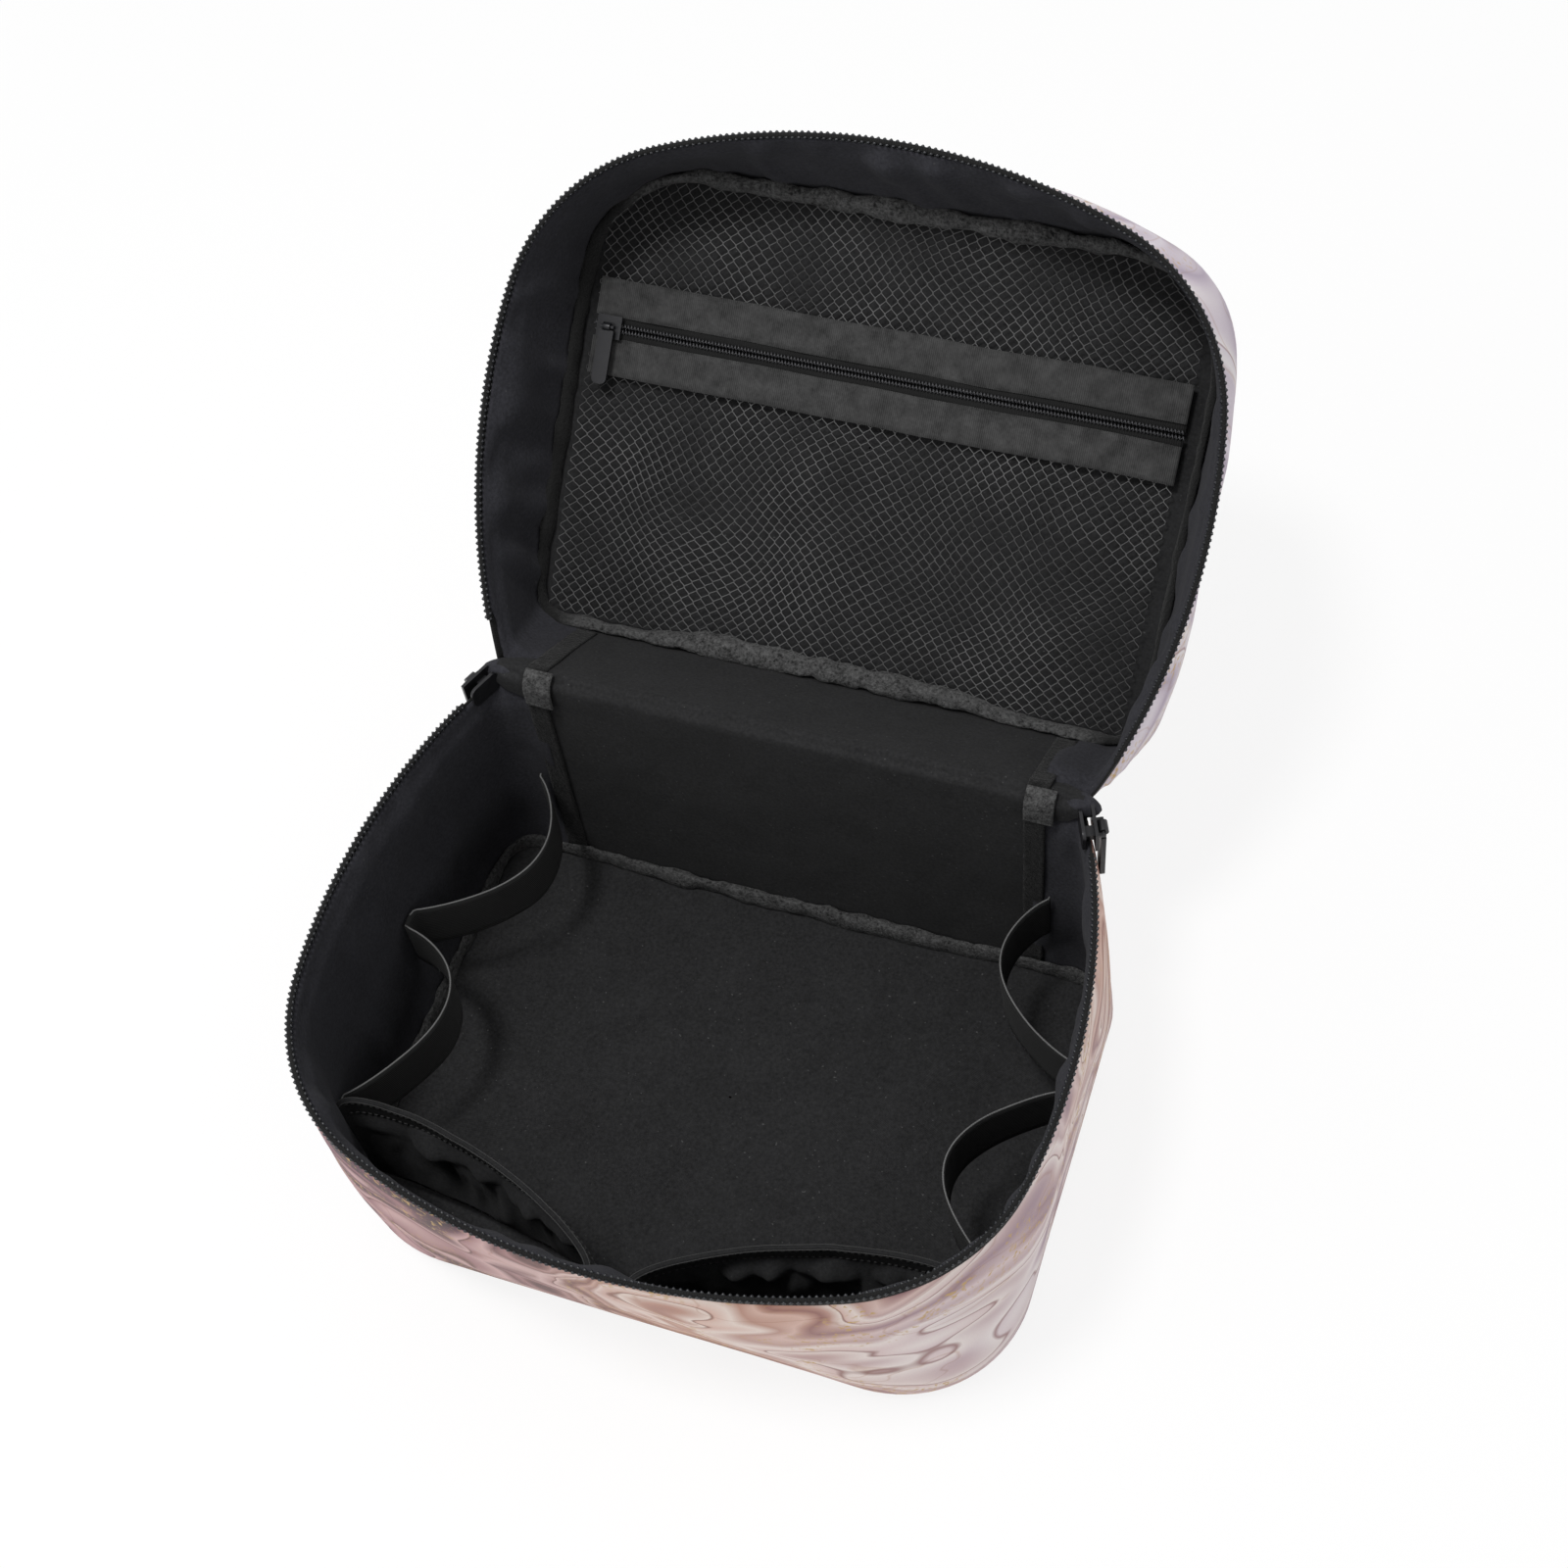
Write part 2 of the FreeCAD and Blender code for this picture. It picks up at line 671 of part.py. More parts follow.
def make_slider(label, prefix, place):
    """Slider with its length along local x, its width along y and its bail on the +z side."""
    def term(name):
        return f"Sizes.{prefix}{name}"

    body = doc.addObject("PartDesign::Body", label)
    height = term("slider_height")
    plate = term("slider_plate")
    inner = flat_sketch(body, f"{label}_inner", f"-{height} / 2")
    add_rectangle(inner, term("slider_length"), term("slider_width"))
    inner_pad = add_pad(body, inner, plate)
    round_corners(body, inner_pad, term("slider_corner"))
    neck = flat_sketch(body, f"{label}_neck", f"-{height} / 2")
    half_neck = f"{term('slider_neck_width')} / 2"
    add_rectangle(neck, term("slider_neck_length"), term("slider_neck_width"),
                  f"-{term('slider_length')} / 2 + {term('slider_corner')}", f"-{half_neck}", False)
    add_pad(body, neck, height)
    outer = flat_sketch(body, f"{label}_outer", f"{height} / 2 - {plate}")
    add_rectangle(outer, term("slider_length"), term("slider_width"))
    add_pad(body, outer, plate)
    rise = f"{height} / 2 + {term('bail_rise')}"
    posts = flat_sketch(body, f"{label}_posts", f"{height} / 2 - {plate}")
    post = term("bail_post")
    for start in (f"-{term('bail_length')} / 2", f"{term('bail_length')} / 2 - {post}"):
        add_rectangle(posts, post, post, start, f"-{post} / 2", False)
    add_pad(body, posts, f"{plate} + {term('bail_rise')} + {term('bail_radius')}")
    add_bar(body, f"{label}_bail", term("bail_radius"), term("bail_length"),
            f"-{term('bail_length')} / 2", rise)
    body.Placement = place
    return keep(body, label)


def make_pull(label, prefix, place):
    """Flat tab with a slot and a rolled eye; it hangs along local -y from the bail."""
    def term(name):
        return f"Sizes.{prefix}{name}"

    body = doc.addObject("PartDesign::Body", label)
    bail_z = f"{term('slider_height')} / 2 + {term('bail_rise')}"
    wide = term("pull_width")
    long = term("pull_length")
    thick = term("pull_thickness")
    hole = f"{term('bail_radius')} + Sizes.pull_eye_gap"
    clear = f"{term('bail_post')} + 2 * Sizes.pull_eye_gap"
    tab = flat_sketch(body, f"{label}_tab", f"{bail_z} - {thick} / 2")
    add_rectangle(tab, wide, f"{long} - ({clear})", f"-{wide} / 2", f"-{long}", False)
    pad = add_pad(body, tab, thick)
    doc.recompute()
    free_edges = [f"Edge{i}" for i, edge in enumerate(pad.Shape.Edges, start=1)
                  if is_upright(edge)
                  and edge.CenterOfMass.y < -size(f"{prefix}pull_length") / 2]
    fillet = body.newObject("PartDesign::Fillet", f"{label}_round")
    fillet.Base = (pad, free_edges)
    fillet.setExpression("Radius", term("pull_corner"))
    add_bar(body, f"{label}_eye", term("pull_eye_radius"), term("pull_eye_length"),
            f"-{term('pull_eye_length')} / 2", bail_z)
    doc.recompute()
    bore = body.newObject("PartDesign::SubtractiveCylinder", f"{label}_bore")
    bore.setExpression("Radius", hole)
    bore.setExpression("Height", f"2 * {wide}")
    bore.AttachmentSupport = [(origin_plane(body, "YZ_Plane"), "")]
    bore.MapMode = "FlatFace"
    bore.setExpression("AttachmentOffset.Base.y", bail_z)
    bore.setExpression("AttachmentOffset.Base.z", f"-{wide}")
    body.Placement = place
    return keep(body, label)


def make_main_sliders():
    """One slider parked at each end of the chain, with its pull hanging outside the wall."""
    angle = Rim.fold_angle - size("slider_from_fold") / size("rim_side_radius")
    radius = size("rim_side_radius") - TAPE_MIDDLE
    for side, sign in (("left", -1), ("right", 1)):
        outward = Vector(sign * math.cos(angle), math.sin(angle), 0)
        centre = Vector(sign * Rim.side_centre.x, Rim.side_centre.y, RIM_Z)
        along = UP.cross(outward)
        place = Placement(centre + outward * radius, Rotation(along, UP, outward, "ZXY"))
        make_slider(f"{side}_main_slider", "", place)
        make_pull(f"{side}_main_pull", "", place)


# Elastic loops and pockets


def bowed_strip(start, end, inward, bulge, thickness, z):
    """Flat strip bowed between two points of a wall, as a closed outline of two arcs."""
    chord = end - start
    half = chord.Length / 2
    middle = (start + end) / 2
    ahead = chord / chord.Length
    radius = (half ** 2 + bulge ** 2) / (2 * bulge)
    centre = middle + inward * (bulge - radius)
    inner = radius - thickness
    drop = radius - bulge
    inner_half = math.sqrt(inner ** 2 - drop ** 2)
    level = Vector(0, 0, z)
    near = middle - ahead * inner_half
    far = middle + ahead * inner_half
    crown = centre + inward * radius
    inner_crown = centre + inward * inner
    return Part.Wire([
        Part.Arc(start + level, crown + level, end + level).toShape(),
        line(end + level, far + level),
        Part.Arc(far + level, inner_crown + level, near + level).toShape(),
        line(near + level, start + level),
    ])


def wall_reach(inside, start, direction):
    """How far the space inside the walls goes from a point in a direction."""
    ray = line(start, start + direction * FAR)
    return max(vertex.Point.distanceToPoint(start) for vertex in inside.common(ray).Vertexes)


def make_loops(inside):
    low = size("loop_bottom")
    tall = size("loop_height")
    thick = size("loop_thickness")
    stitch = size("loop_stitch_half")
    stops = (size("loop_back_reach"), size("loop_middle_reach"), -size("loop_front_reach"))
    for side, sign in (("left", -1), ("right", 1)):
        outward = Vector(sign, 0, 0)
        walls = []
        for y in stops:
            reach = min(wall_reach(inside, Vector(0, y, z), outward) for z in (low, low + tall))
            walls.append(Vector(sign * (reach - size("loop_wall_gap")), y, 0))
        pieces = []
        for first, last in zip(walls, walls[1:]):
            ahead = (last - first) / (last - first).Length
            square = UP.cross(ahead) * (1 if UP.cross(ahead).dot(outward) < 0 else -1)
            strip = bowed_strip(first + ahead * stitch, last - ahead * stitch, square,
                                size("loop_bulge"), thick, low)
            pieces.append(Part.Face(strip).extrude(UP * tall))
            for spot, way in ((first, 1), (last, -1)):
                tab = Part.Face(Part.makePolygon([
                    spot + UP * low,
                    spot + ahead * way * 2 * stitch + UP * low,
                    spot + ahead * way * 2 * stitch + square * thick + UP * low,
                    spot + square * thick + UP * low,
                    spot + UP * low,
                ]))
                pieces.append(tab.extrude(UP * tall))
        band = pieces[0].multiFuse(pieces[1:])
        add_shape(f"{side}_elastic_loops", band)


def make_pockets(inside, floor_top):
    """Gathered pockets that start above the floor's binding tape, each with a hem on top."""
    low = floor_top + size("binding_height") + 2 * size("layer_gap")
    top = size("pocket_top")
    ahead = Vector(0, -1, 0)
    for side, sign in (("left", -1), ("right", 1)):
        ends = [sign * size("pocket_inner_reach"), sign * size("pocket_outer_reach")]

        def mouth(z, bulge, thickness, ends=ends):
            spots = []
            for x in ends:
                reach = wall_reach(inside, Vector(x, 0, z), ahead) - size("pocket_wall_gap")
                spots.append(Vector(x, -reach, 0))
            chord = spots[1] - spots[0]
            square = UP.cross(chord) / chord.Length
            if square.y < 0:
                square = square * -1
            return bowed_strip(spots[0], spots[1], square, bulge, thickness, z)

        sections = [mouth(low, size("pocket_bulge_bottom"), size("pocket_thickness")),
                    mouth(top, size("pocket_bulge_top"), size("pocket_thickness"))]
        add_shape(f"front_{side}_pocket", Part.makeLoft(sections, True, True))
        hem = mouth(top + size("hem_gap"), size("pocket_bulge_top"), size("hem_thickness"))
        add_shape(f"front_{side}_pocket_hem", Part.Face(hem).extrude(UP * size("hem_height")))


# Net pocket inside the lid


def net_panel(x_half, y_low, y_high, z):
    """Flat net within the bound lid seam: one face with a staggered pattern of diamond gaps."""
    cell_w = size("net_cell_width")
    cell_l = size("net_cell_length")
    strand = size("net_strand")
    seam = FLOOR_INSET + size("binding_thickness") + size("net_seam_gap")
    sheet_face = Part.Face(Part.makePolygon([
        Vector(-x_half, y_low, z), Vector(x_half, y_low, z), Vector(x_half, y_high, z),
        Vector(-x_half, y_high, z), Vector(-x_half, y_low, z)]))
    outline = sheet_face.common(Part.Face(lid_outline(seam, z))).Faces[0].OuterWire
    border = Part.Face(lid_outline(seam + strand, z))
    half_w = cell_w / 2 - strand / 2
    half_l = cell_l / 2 - strand / 2
    columns = int((2 * x_half - 2 * strand) / cell_w)
    rows = int((y_high - y_low - 2 * strand) / (cell_l / 2)) - 1
    first_x = -columns * cell_w / 2 + cell_w / 2
    first_y = (y_low + y_high) / 2 - (rows - 1) * cell_l / 4
    gaps = []
    for row_number in range(rows):
        shifted = row_number % 2
        for column in range(columns - shifted):
            x = first_x + (column + shifted / 2) * cell_w
            y = first_y + row_number * cell_l / 2
            corners = [Vector(x - half_w, y, z), Vector(x, y - half_l, z),
                       Vector(x + half_w, y, z), Vector(x, y + half_l, z)]
            if all(border.isInside(corner, border.Tolerance, True) for corner in corners):
                gaps.append(Part.makePolygon(corners + corners[:1]))
    print(f"net from {y_low:.0f} to {y_high:.0f}: {len(gaps)} gaps")
    return holed_face(outline, gaps).extrude(UP * size("net_thickness"))


def add_box(label, width, length, height, corner):
    """Straight ribbon or tape in the lid, its sizes tied to expressions."""
    box = doc.addObject("Part::Box", label)
    box.setExpression("Length", width)
    box.setExpression("Width", length)
    box.setExpression("Height", height)
    box.Placement = LID_OPEN.multiply(Placement(corner, Rotation()))
    return keep(box, label)


def make_net_pocket(lid_under):
    x_half = size("lid_panel_width") / 2 - PANEL_INSET - size("net_side_margin")
    top = lid_under - size("net_stand_off")
    z = top - size("net_thickness")
    zip_y = HINGE_Y - size("net_zip_from_fold")
    tape_half = size("net_tape_slot") / 2 + size("net_tape_width")
    seat = size("net_tape_seat")
    back_y = LID_BACK_Y - FLOOR_INSET - size("net_back_margin")
    front_y = LID_BACK_Y - size("lid_panel_length") + FLOOR_INSET + size("net_front_margin")
    lower = net_panel(x_half, zip_y + tape_half + seat, back_y, z)
    upper = net_panel(x_half, front_y, zip_y - tape_half - seat, z)
    add_shape("net_lower", lower, LID_OPEN)
    add_shape("net_upper", upper, LID_OPEN)
    across = ("Sizes.lid_panel_width - 2 * Sizes.net_side_margin"
              f" - 2 * ({CORE_INSET})")
    ribbon_z = z - seat - size("ribbon_thickness")
    coil_z = z - seat - size("net_coil_height")
    half_slot = size("net_tape_slot") / 2
    for name, sign in (("lower", 1), ("upper", -1)):
        tape_y = zip_y + half_slot if sign > 0 else zip_y - tape_half
        add_box(f"net_zip_tape_{name}", across, "Sizes.net_tape_width", "Sizes.net_thickness",
                Vector(-x_half, tape_y, z))
        ribbon_y = zip_y + sign * (tape_half + seat) - size("ribbon_width") / 2
        add_box(f"net_ribbon_{name}", across, "Sizes.ribbon_width", "Sizes.ribbon_thickness",
                Vector(-x_half, ribbon_y, ribbon_z))
        coil_y = zip_y + half_slot if sign > 0 else zip_y - half_slot - size("net_coil_width")
        add_box(f"net_zip_coil_{name}", across, "Sizes.net_coil_width", "Sizes.net_coil_height",
                Vector(-x_half, coil_y, coil_z))
    middle_z = z + size("net_thickness") / 2 - size("net_coil_height") / 2
    start = Vector(-x_half + size("net_slider_inset"), zip_y, middle_z)
    facing = Rotation(Vector(1, 0, 0), Vector(0, -1, 0), Vector(0, 0, -1), "ZXY")
    place = LID_OPEN.multiply(Placement(start, facing))
    make_slider("net_slider", "net_", place)
    make_pull("net_pull", "net_", place)


# Carrying handle on the lid


def make_handle():
    half = size("handle_span") / 2
    thick = size("handle_thickness")
    wide = size("handle_width")
    patch = size("handle_patch_thickness")
    foot = size("handle_foot_length")
    base_z = LID_TOP_Z + size("layer_gap")
    y = LID_MIDDLE_Y - wide / 2
    rise = size("handle_rise")
    radius = (half ** 2 + rise ** 2) / (2 * rise)
    inner_half = math.sqrt((radius - thick) ** 2 - (radius - rise) ** 2)

    def spot(x, lift):
        return Vector(x, y, base_z + patch + size("layer_gap") + lift)

    arch = Part.Face(Part.Wire([
        Part.Arc(spot(-half, 0), spot(0, rise), spot(half, 0)).toShape(),
        line(spot(half, 0), spot(inner_half, 0)),
        Part.Arc(spot(inner_half, 0), spot(0, rise - thick), spot(-inner_half, 0)).toShape(),
        line(spot(-inner_half, 0), spot(-half, 0)),
    ])).extrude(Vector(0, wide, 0))
    feet = []
    for sign in (-1, 1):
        x = sign * half - (foot if sign < 0 else 0)
        corner = spot(x - sign * thick, 0)
        feet.append(Part.makeBox(foot, wide, thick, corner))
    add_shape("handle_strap", arch.multiFuse(feet), LID_OPEN)
    margin = size("handle_patch_margin")
    for side, sign in (("left", -1), ("right", 1)):
        x = sign * half - (foot if sign < 0 else 0) - sign * thick
        corner = Vector(x - margin, y - margin, base_z)
        plate = Part.makeBox(foot + 2 * margin, wide + 2 * margin, patch, corner)
        add_shape(f"handle_patch_{side}", plate, LID_OPEN)


make_base_walls()
floor_z = make_floor()
make_lid_walls()
lid_under_z = make_lid_panels()
make_bindings(floor_z, lid_under_z)
make_fold()
make_zipper()
make_main_sliders()
cavity = base_core(WALL)
make_loops(cavity)
make_pockets(cavity, floor_z)
make_net_pocket(lid_under_z)
make_handle()
doc.recompute()

for item in doc.Objects:
    if "Invalid" in item.State or "Error" in item.State:
        raise RuntimeError(f"{item.Name} did not build: {item.State}")
for item in nodes:
    if item.Shape.isNull() or not item.Shape.isValid():
        raise RuntimeError(f"{item.Label} has no valid shape")

os.makedirs("parts", exist_ok=True)
for item in nodes:
    item.Shape.exportStep(f"parts/{item.Label}.step")
print(f"{len(nodes)} nodes, {sum(len(item.Shape.Solids) for item in nodes)} solids")
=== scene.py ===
import math
from functools import partialmethod

import bpy
import numpy as np
from mathutils import Matrix, Vector, noise


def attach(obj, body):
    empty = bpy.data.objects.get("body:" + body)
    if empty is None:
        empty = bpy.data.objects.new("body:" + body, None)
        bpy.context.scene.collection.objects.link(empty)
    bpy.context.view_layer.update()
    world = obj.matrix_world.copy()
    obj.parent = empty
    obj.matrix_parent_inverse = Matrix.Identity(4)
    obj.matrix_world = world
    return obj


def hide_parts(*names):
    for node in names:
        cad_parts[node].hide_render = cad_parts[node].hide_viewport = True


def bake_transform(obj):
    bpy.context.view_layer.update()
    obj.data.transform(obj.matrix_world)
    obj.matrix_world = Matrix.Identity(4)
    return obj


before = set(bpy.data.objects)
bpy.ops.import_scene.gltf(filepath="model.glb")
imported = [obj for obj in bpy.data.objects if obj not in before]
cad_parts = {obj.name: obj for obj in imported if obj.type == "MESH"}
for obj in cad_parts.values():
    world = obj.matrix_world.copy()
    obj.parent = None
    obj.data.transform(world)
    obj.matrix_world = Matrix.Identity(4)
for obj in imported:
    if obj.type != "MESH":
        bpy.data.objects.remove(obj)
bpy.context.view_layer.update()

# Sizes, in millimetres with the lid closed

MM = 0.001
RIM_Z = 110.0
HINGE_Y = 87.0
OPEN = math.radians(138.0)
LID_TOP_Z = 162.0
LID_BACK_DRAFT = 11.0
LID_MIDDLE_Y = -9.0
SEAM_X = 88.0
FLOOR_Z = 6.2
LID_UNDER_Z = 157.4
LINING_INSET = 4.3
TAPE_INSET = 1.35
# Width, length, front corner radius, back corner radius and middle of the flat panels
PANELS = {"base": (240.0, 168.0, 42.0, 16.0, 0.0), "lid": (232.0, 170.0, 40.0, 14.0, LID_MIDDLE_Y)}
SIDES = (("left", -1), ("right", 1))
# Points on each stretch of an outline, round a shell, along a wall's band and round a panel
STEPS, AROUND, BAND, PANEL_AROUND = 24, 220, 260, 160


# Outlines


def arc(centre, radius, start, end):
    angles = np.linspace(start, end, STEPS)
    return np.stack([centre[0] + radius * np.cos(angles), centre[1] + radius * np.sin(angles)], axis=1)


def straight(start, end):
    return np.linspace(start, end, STEPS)


# The rim: a side arc, a corner arc and a front arc on each half, tangent to one another
MOUTH_WIDEST, MOUTH_FORWARD, MOUTH_FRONT = 125.0, 6.0, 108.0
SIDE_RADIUS, CORNER_RADIUS, FRONT_RADIUS = 222.0, 68.0, 225.0
SIDE_CENTRE = np.array([MOUTH_WIDEST - SIDE_RADIUS, -MOUTH_FORWARD])
FRONT_CENTRE = np.array([0.0, FRONT_RADIUS - MOUTH_FRONT])


def corner_centre():
    """Centre of the arc that is tangent inside to the side arc and the front arc."""
    ra = SIDE_RADIUS - CORNER_RADIUS
    rb = FRONT_RADIUS - CORNER_RADIUS
    gap = FRONT_CENTRE - SIDE_CENTRE
    span = np.hypot(*gap)
    reach = (ra ** 2 - rb ** 2 + span ** 2) / (2 * span)
    rise = math.sqrt(ra ** 2 - reach ** 2)
    ahead = gap / span
    return SIDE_CENTRE + ahead * reach + rise * np.array([ahead[1], -ahead[0]])


CORNER = corner_centre()
SIDE_END = math.atan2(*(CORNER - SIDE_CENTRE)[::-1])
CORNER_END = math.atan2(*(CORNER - FRONT_CENTRE)[::-1])


def matched_half(part, inset):
    """Right half of a panel's outline and of the mouth that the wall joins, back to front."""
    width, length, radius, back_radius, middle_y = PANELS[part]
    bend, back_bend = radius - inset, back_radius - inset
    back = np.array([width / 2 - back_radius, middle_y + length / 2 - back_radius])
    front = np.array([width / 2 - radius, middle_y - length / 2 + radius])
    side = SIDE_RADIUS - inset
    fold = math.asin((HINGE_Y - inset - SIDE_CENTRE[1]) / side)
    hinge_end = arc(SIDE_CENTRE, side, fold, fold)[0]
    widest = arc(SIDE_CENTRE, side, 0.0, 0.0)[0]
    foremost = (0.0, inset - MOUTH_FRONT)
    elbow = hinge_end - (back_radius / 2, 0)
    turn = math.pi / 2
    pairs = [
        (straight((0, back[1] + back_bend), back + (0, back_bend)), straight((0, HINGE_Y - inset), elbow)),
        (arc(back, back_bend, turn, fold), straight(elbow, hinge_end)),
        (arc(back, back_bend, fold, 0.0), arc(SIDE_CENTRE, side, fold, 0.0)),
        (straight(back + (back_bend, 0), front + (bend, 0)), straight(widest, widest)),
        (arc(front, bend, 0.0, SIDE_END), arc(SIDE_CENTRE, side, 0.0, SIDE_END)),
        (arc(front, bend, SIDE_END, CORNER_END), arc(CORNER, CORNER_RADIUS - inset, SIDE_END, CORNER_END)),
        (arc(front, bend, CORNER_END, -turn), arc(FRONT_CENTRE, FRONT_RADIUS - inset, CORNER_END, -turn)),
        (straight(front - (0, bend), (0, front[1] - bend)), straight(foremost, foremost)),
    ]
    outlines, rims = zip(*pairs)
    return np.concatenate(outlines), np.concatenate(rims)


def half_ring(part, inset, z):
    """Right half of a wall's outline at a height, back to front."""
    outline, rim = matched_half(part, inset)
    share = z / RIM_Z if part == "base" else (LID_TOP_Z - z) / (LID_TOP_Z - RIM_Z)
    return outline * (1 - share) + rim * share


def run_along(path, axis=0):
    """Length from the start of a path to each of its points, or along one axis of a grid."""
    steps = np.diff(path, axis=axis, prepend=np.take(path, [0], axis))
    return np.cumsum(np.linalg.norm(steps, axis=-1), axis)


def spots_along(path, lengths):
    run = run_along(path)
    return np.stack([np.interp(lengths, run, values) for values in path.T], axis=1)


def resample(path, count, skip=0.0):
    """Evenly spaced points along a path, leaving out a length at each end."""
    return spots_along(path, np.linspace(skip, run_along(path)[-1] - skip, count))


def mirrored_path(half):
    """A half path followed by its mirror image, from right to left."""
    return np.concatenate([half, (half[::-1] * (-1.0, 1.0))[1:]])


def full_ring(part, inset, z, count):
    """Closed ring from the middle of the back by the right side."""
    return resample(mirrored_path(half_ring(part, inset, z)), count + 1)[:-1]


def band_path(part, inset, z):
    """From the right back seam round the front to the left back seam."""
    half = half_ring(part, inset, z)
    first = np.argmin((half[:, 0] < SEAM_X) & (half[:, 1] > 0))
    before, after = half[first - 1], half[first]
    share = (SEAM_X - before[0]) / (after[0] - before[0])
    cut = before + (after - before) * share
    return resample(mirrored_path(np.concatenate([[cut], half[first:]])), BAND)


def zipper_path(part, inset, z, count):
    """From the right end of the fold round the front to the left end."""
    return resample(mirrored_path(half_ring(part, inset, z)[2 * STEPS:]), count)


def at_height(path, z):
    return np.concatenate([path, np.full((len(path), 1), z)], axis=1)


def level_row(xs, y, z):
    return np.stack([xs, np.full(len(xs), y), np.full(len(xs), z)], axis=1)


def opened(points):
    """Points of the closed lid, swung open as in the photograph."""
    points = np.asarray(points, dtype=float)
    dy = points[..., 1] - HINGE_Y
    dz = points[..., 2] - RIM_Z
    cos, sin = math.cos(-OPEN), math.sin(-OPEN)
    return np.stack([points[..., 0], HINGE_Y + dy * cos - dz * sin, RIM_Z + dy * sin + dz * cos], axis=-1)


def placed(part, points):
    return opened(points) if part == "lid" else points


# Meshes


def unit(vectors):
    return vectors / np.maximum(np.linalg.norm(vectors, axis=-1, keepdims=True), 1e-9)


def circle(count):
    return np.linspace(0.0, 2 * math.pi, count, endpoint=False)


def eased(value, low, high):
    """Smooth step from 0 to 1."""
    share = np.clip((value - low) / (high - low), 0.0, 1.0)
    return share * share * (3 - 2 * share)


def wobble(points, scale, amount, seed, stretch=(1.0, 1.0, 1.0)):
    """Smooth noise, one value for each point."""
    shift = Vector((seed * 17.3, seed * 5.1, seed * 9.7))
    flat = (points * np.array(stretch)).reshape(-1, 3)
    values = [noise.noise(Vector(point) / scale + shift) for point in flat]
    return amount * np.array(values).reshape(points.shape[:-1])


def push(points, amount, closed=False):
    """Moves each point of a grid along its normal."""
    across = np.gradient(points, axis=0)
    if closed:
        along = (np.roll(points, -1, axis=1) - np.roll(points, 1, axis=1)) / 2
    else:
        along = np.gradient(points, axis=1)
    return points + unit(np.cross(along, across)) * np.asarray(amount)[..., None]


def assign(item, **values):
    for key, value in values.items():
        setattr(item, key, value)
    return item


def linked(name, data):
    item = bpy.data.objects.new(name, data)
    bpy.context.scene.collection.objects.link(item)
    return item


def new_object(name, vertices, faces, material, uvs):
    mesh = bpy.data.meshes.new(name)
    mesh.from_pydata((np.asarray(vertices) * MM).tolist(), [], faces)
    layer = mesh.uv_layers.new(name="UVMap")
    corners = np.empty(len(mesh.loops), dtype=np.int32)
    mesh.loops.foreach_get("vertex_index", corners)
    layer.data.foreach_set("uv", np.asarray(uvs)[corners].ravel())
    mesh.polygons.foreach_set("use_smooth", [True] * len(mesh.polygons))
    mesh.materials.append(material)
    mesh.update()
    return linked(name, mesh)


def grid_object(name, points, material, closed=False):
    """Grid of points as a mesh: rows by columns, with its texture coordinates in metres."""
    if closed:
        points = np.concatenate([points, points[:, :1]], axis=1)
    rows, columns = points.shape[:2]
    along = run_along(points, 1)
    along -= along[:, -1:] / 2
    uvs = np.stack([along, run_along(points)], axis=-1).reshape(-1, 2) * MM
    corners = [row * columns + column for row in range(rows - 1) for column in range(columns - 1)]
    faces = [(c, c + 1, c + columns + 1, c + columns) for c in corners]
    return new_object(name, points.reshape(-1, 3), faces, material, uvs)


def thicken(item, thickness, offset=0.0, even=True):
    """Gives a sheet its thickness, along its normals for an offset of 1. Bending pieces aren't evened."""
    solid = item.modifiers.new("thickness", "SOLIDIFY")
    assign(solid, thickness=thickness * MM, offset=offset, use_even_offset=even)
    return item


def tube_object(name, lines, radius, material, sides):
    """Round tubes along lines of points, with a texture coordinate along each line."""
    vertices, faces, uvs = [], [], []
    angles = circle(sides)
    for points in lines:
        ahead = unit(np.gradient(points, axis=0))
        side = unit(np.cross(ahead, np.eye(3)[np.argmin(np.abs(ahead).mean(axis=0))]))
        up = np.cross(ahead, side)
        first = len(vertices)
        for spot, one, two, length in zip(points, side, up, run_along(points)):
            vertices += [spot + radius * (math.cos(angle) * one + math.sin(angle) * two) for angle in angles]
            uvs += [(length * MM, number / sides) for number in range(sides)]
        last = len(vertices) - sides
        for corner in range(first, last, sides):
            ring = list(range(corner, corner + sides))
            faces += [(a, b, b + sides, a + sides) for a, b in zip(ring, ring[1:] + ring[:1])]
        faces.append(tuple(reversed(range(first, first + sides))))
        faces.append(tuple(range(last, last + sides)))
    return new_object(name, vertices, faces, material, uvs)


def dress(item, body, slot, *nodes):
    """Gives a piece its body and the solids that it stands for; the slot is not used."""
    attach(item, body)
    if nodes:
        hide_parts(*nodes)


# Materials


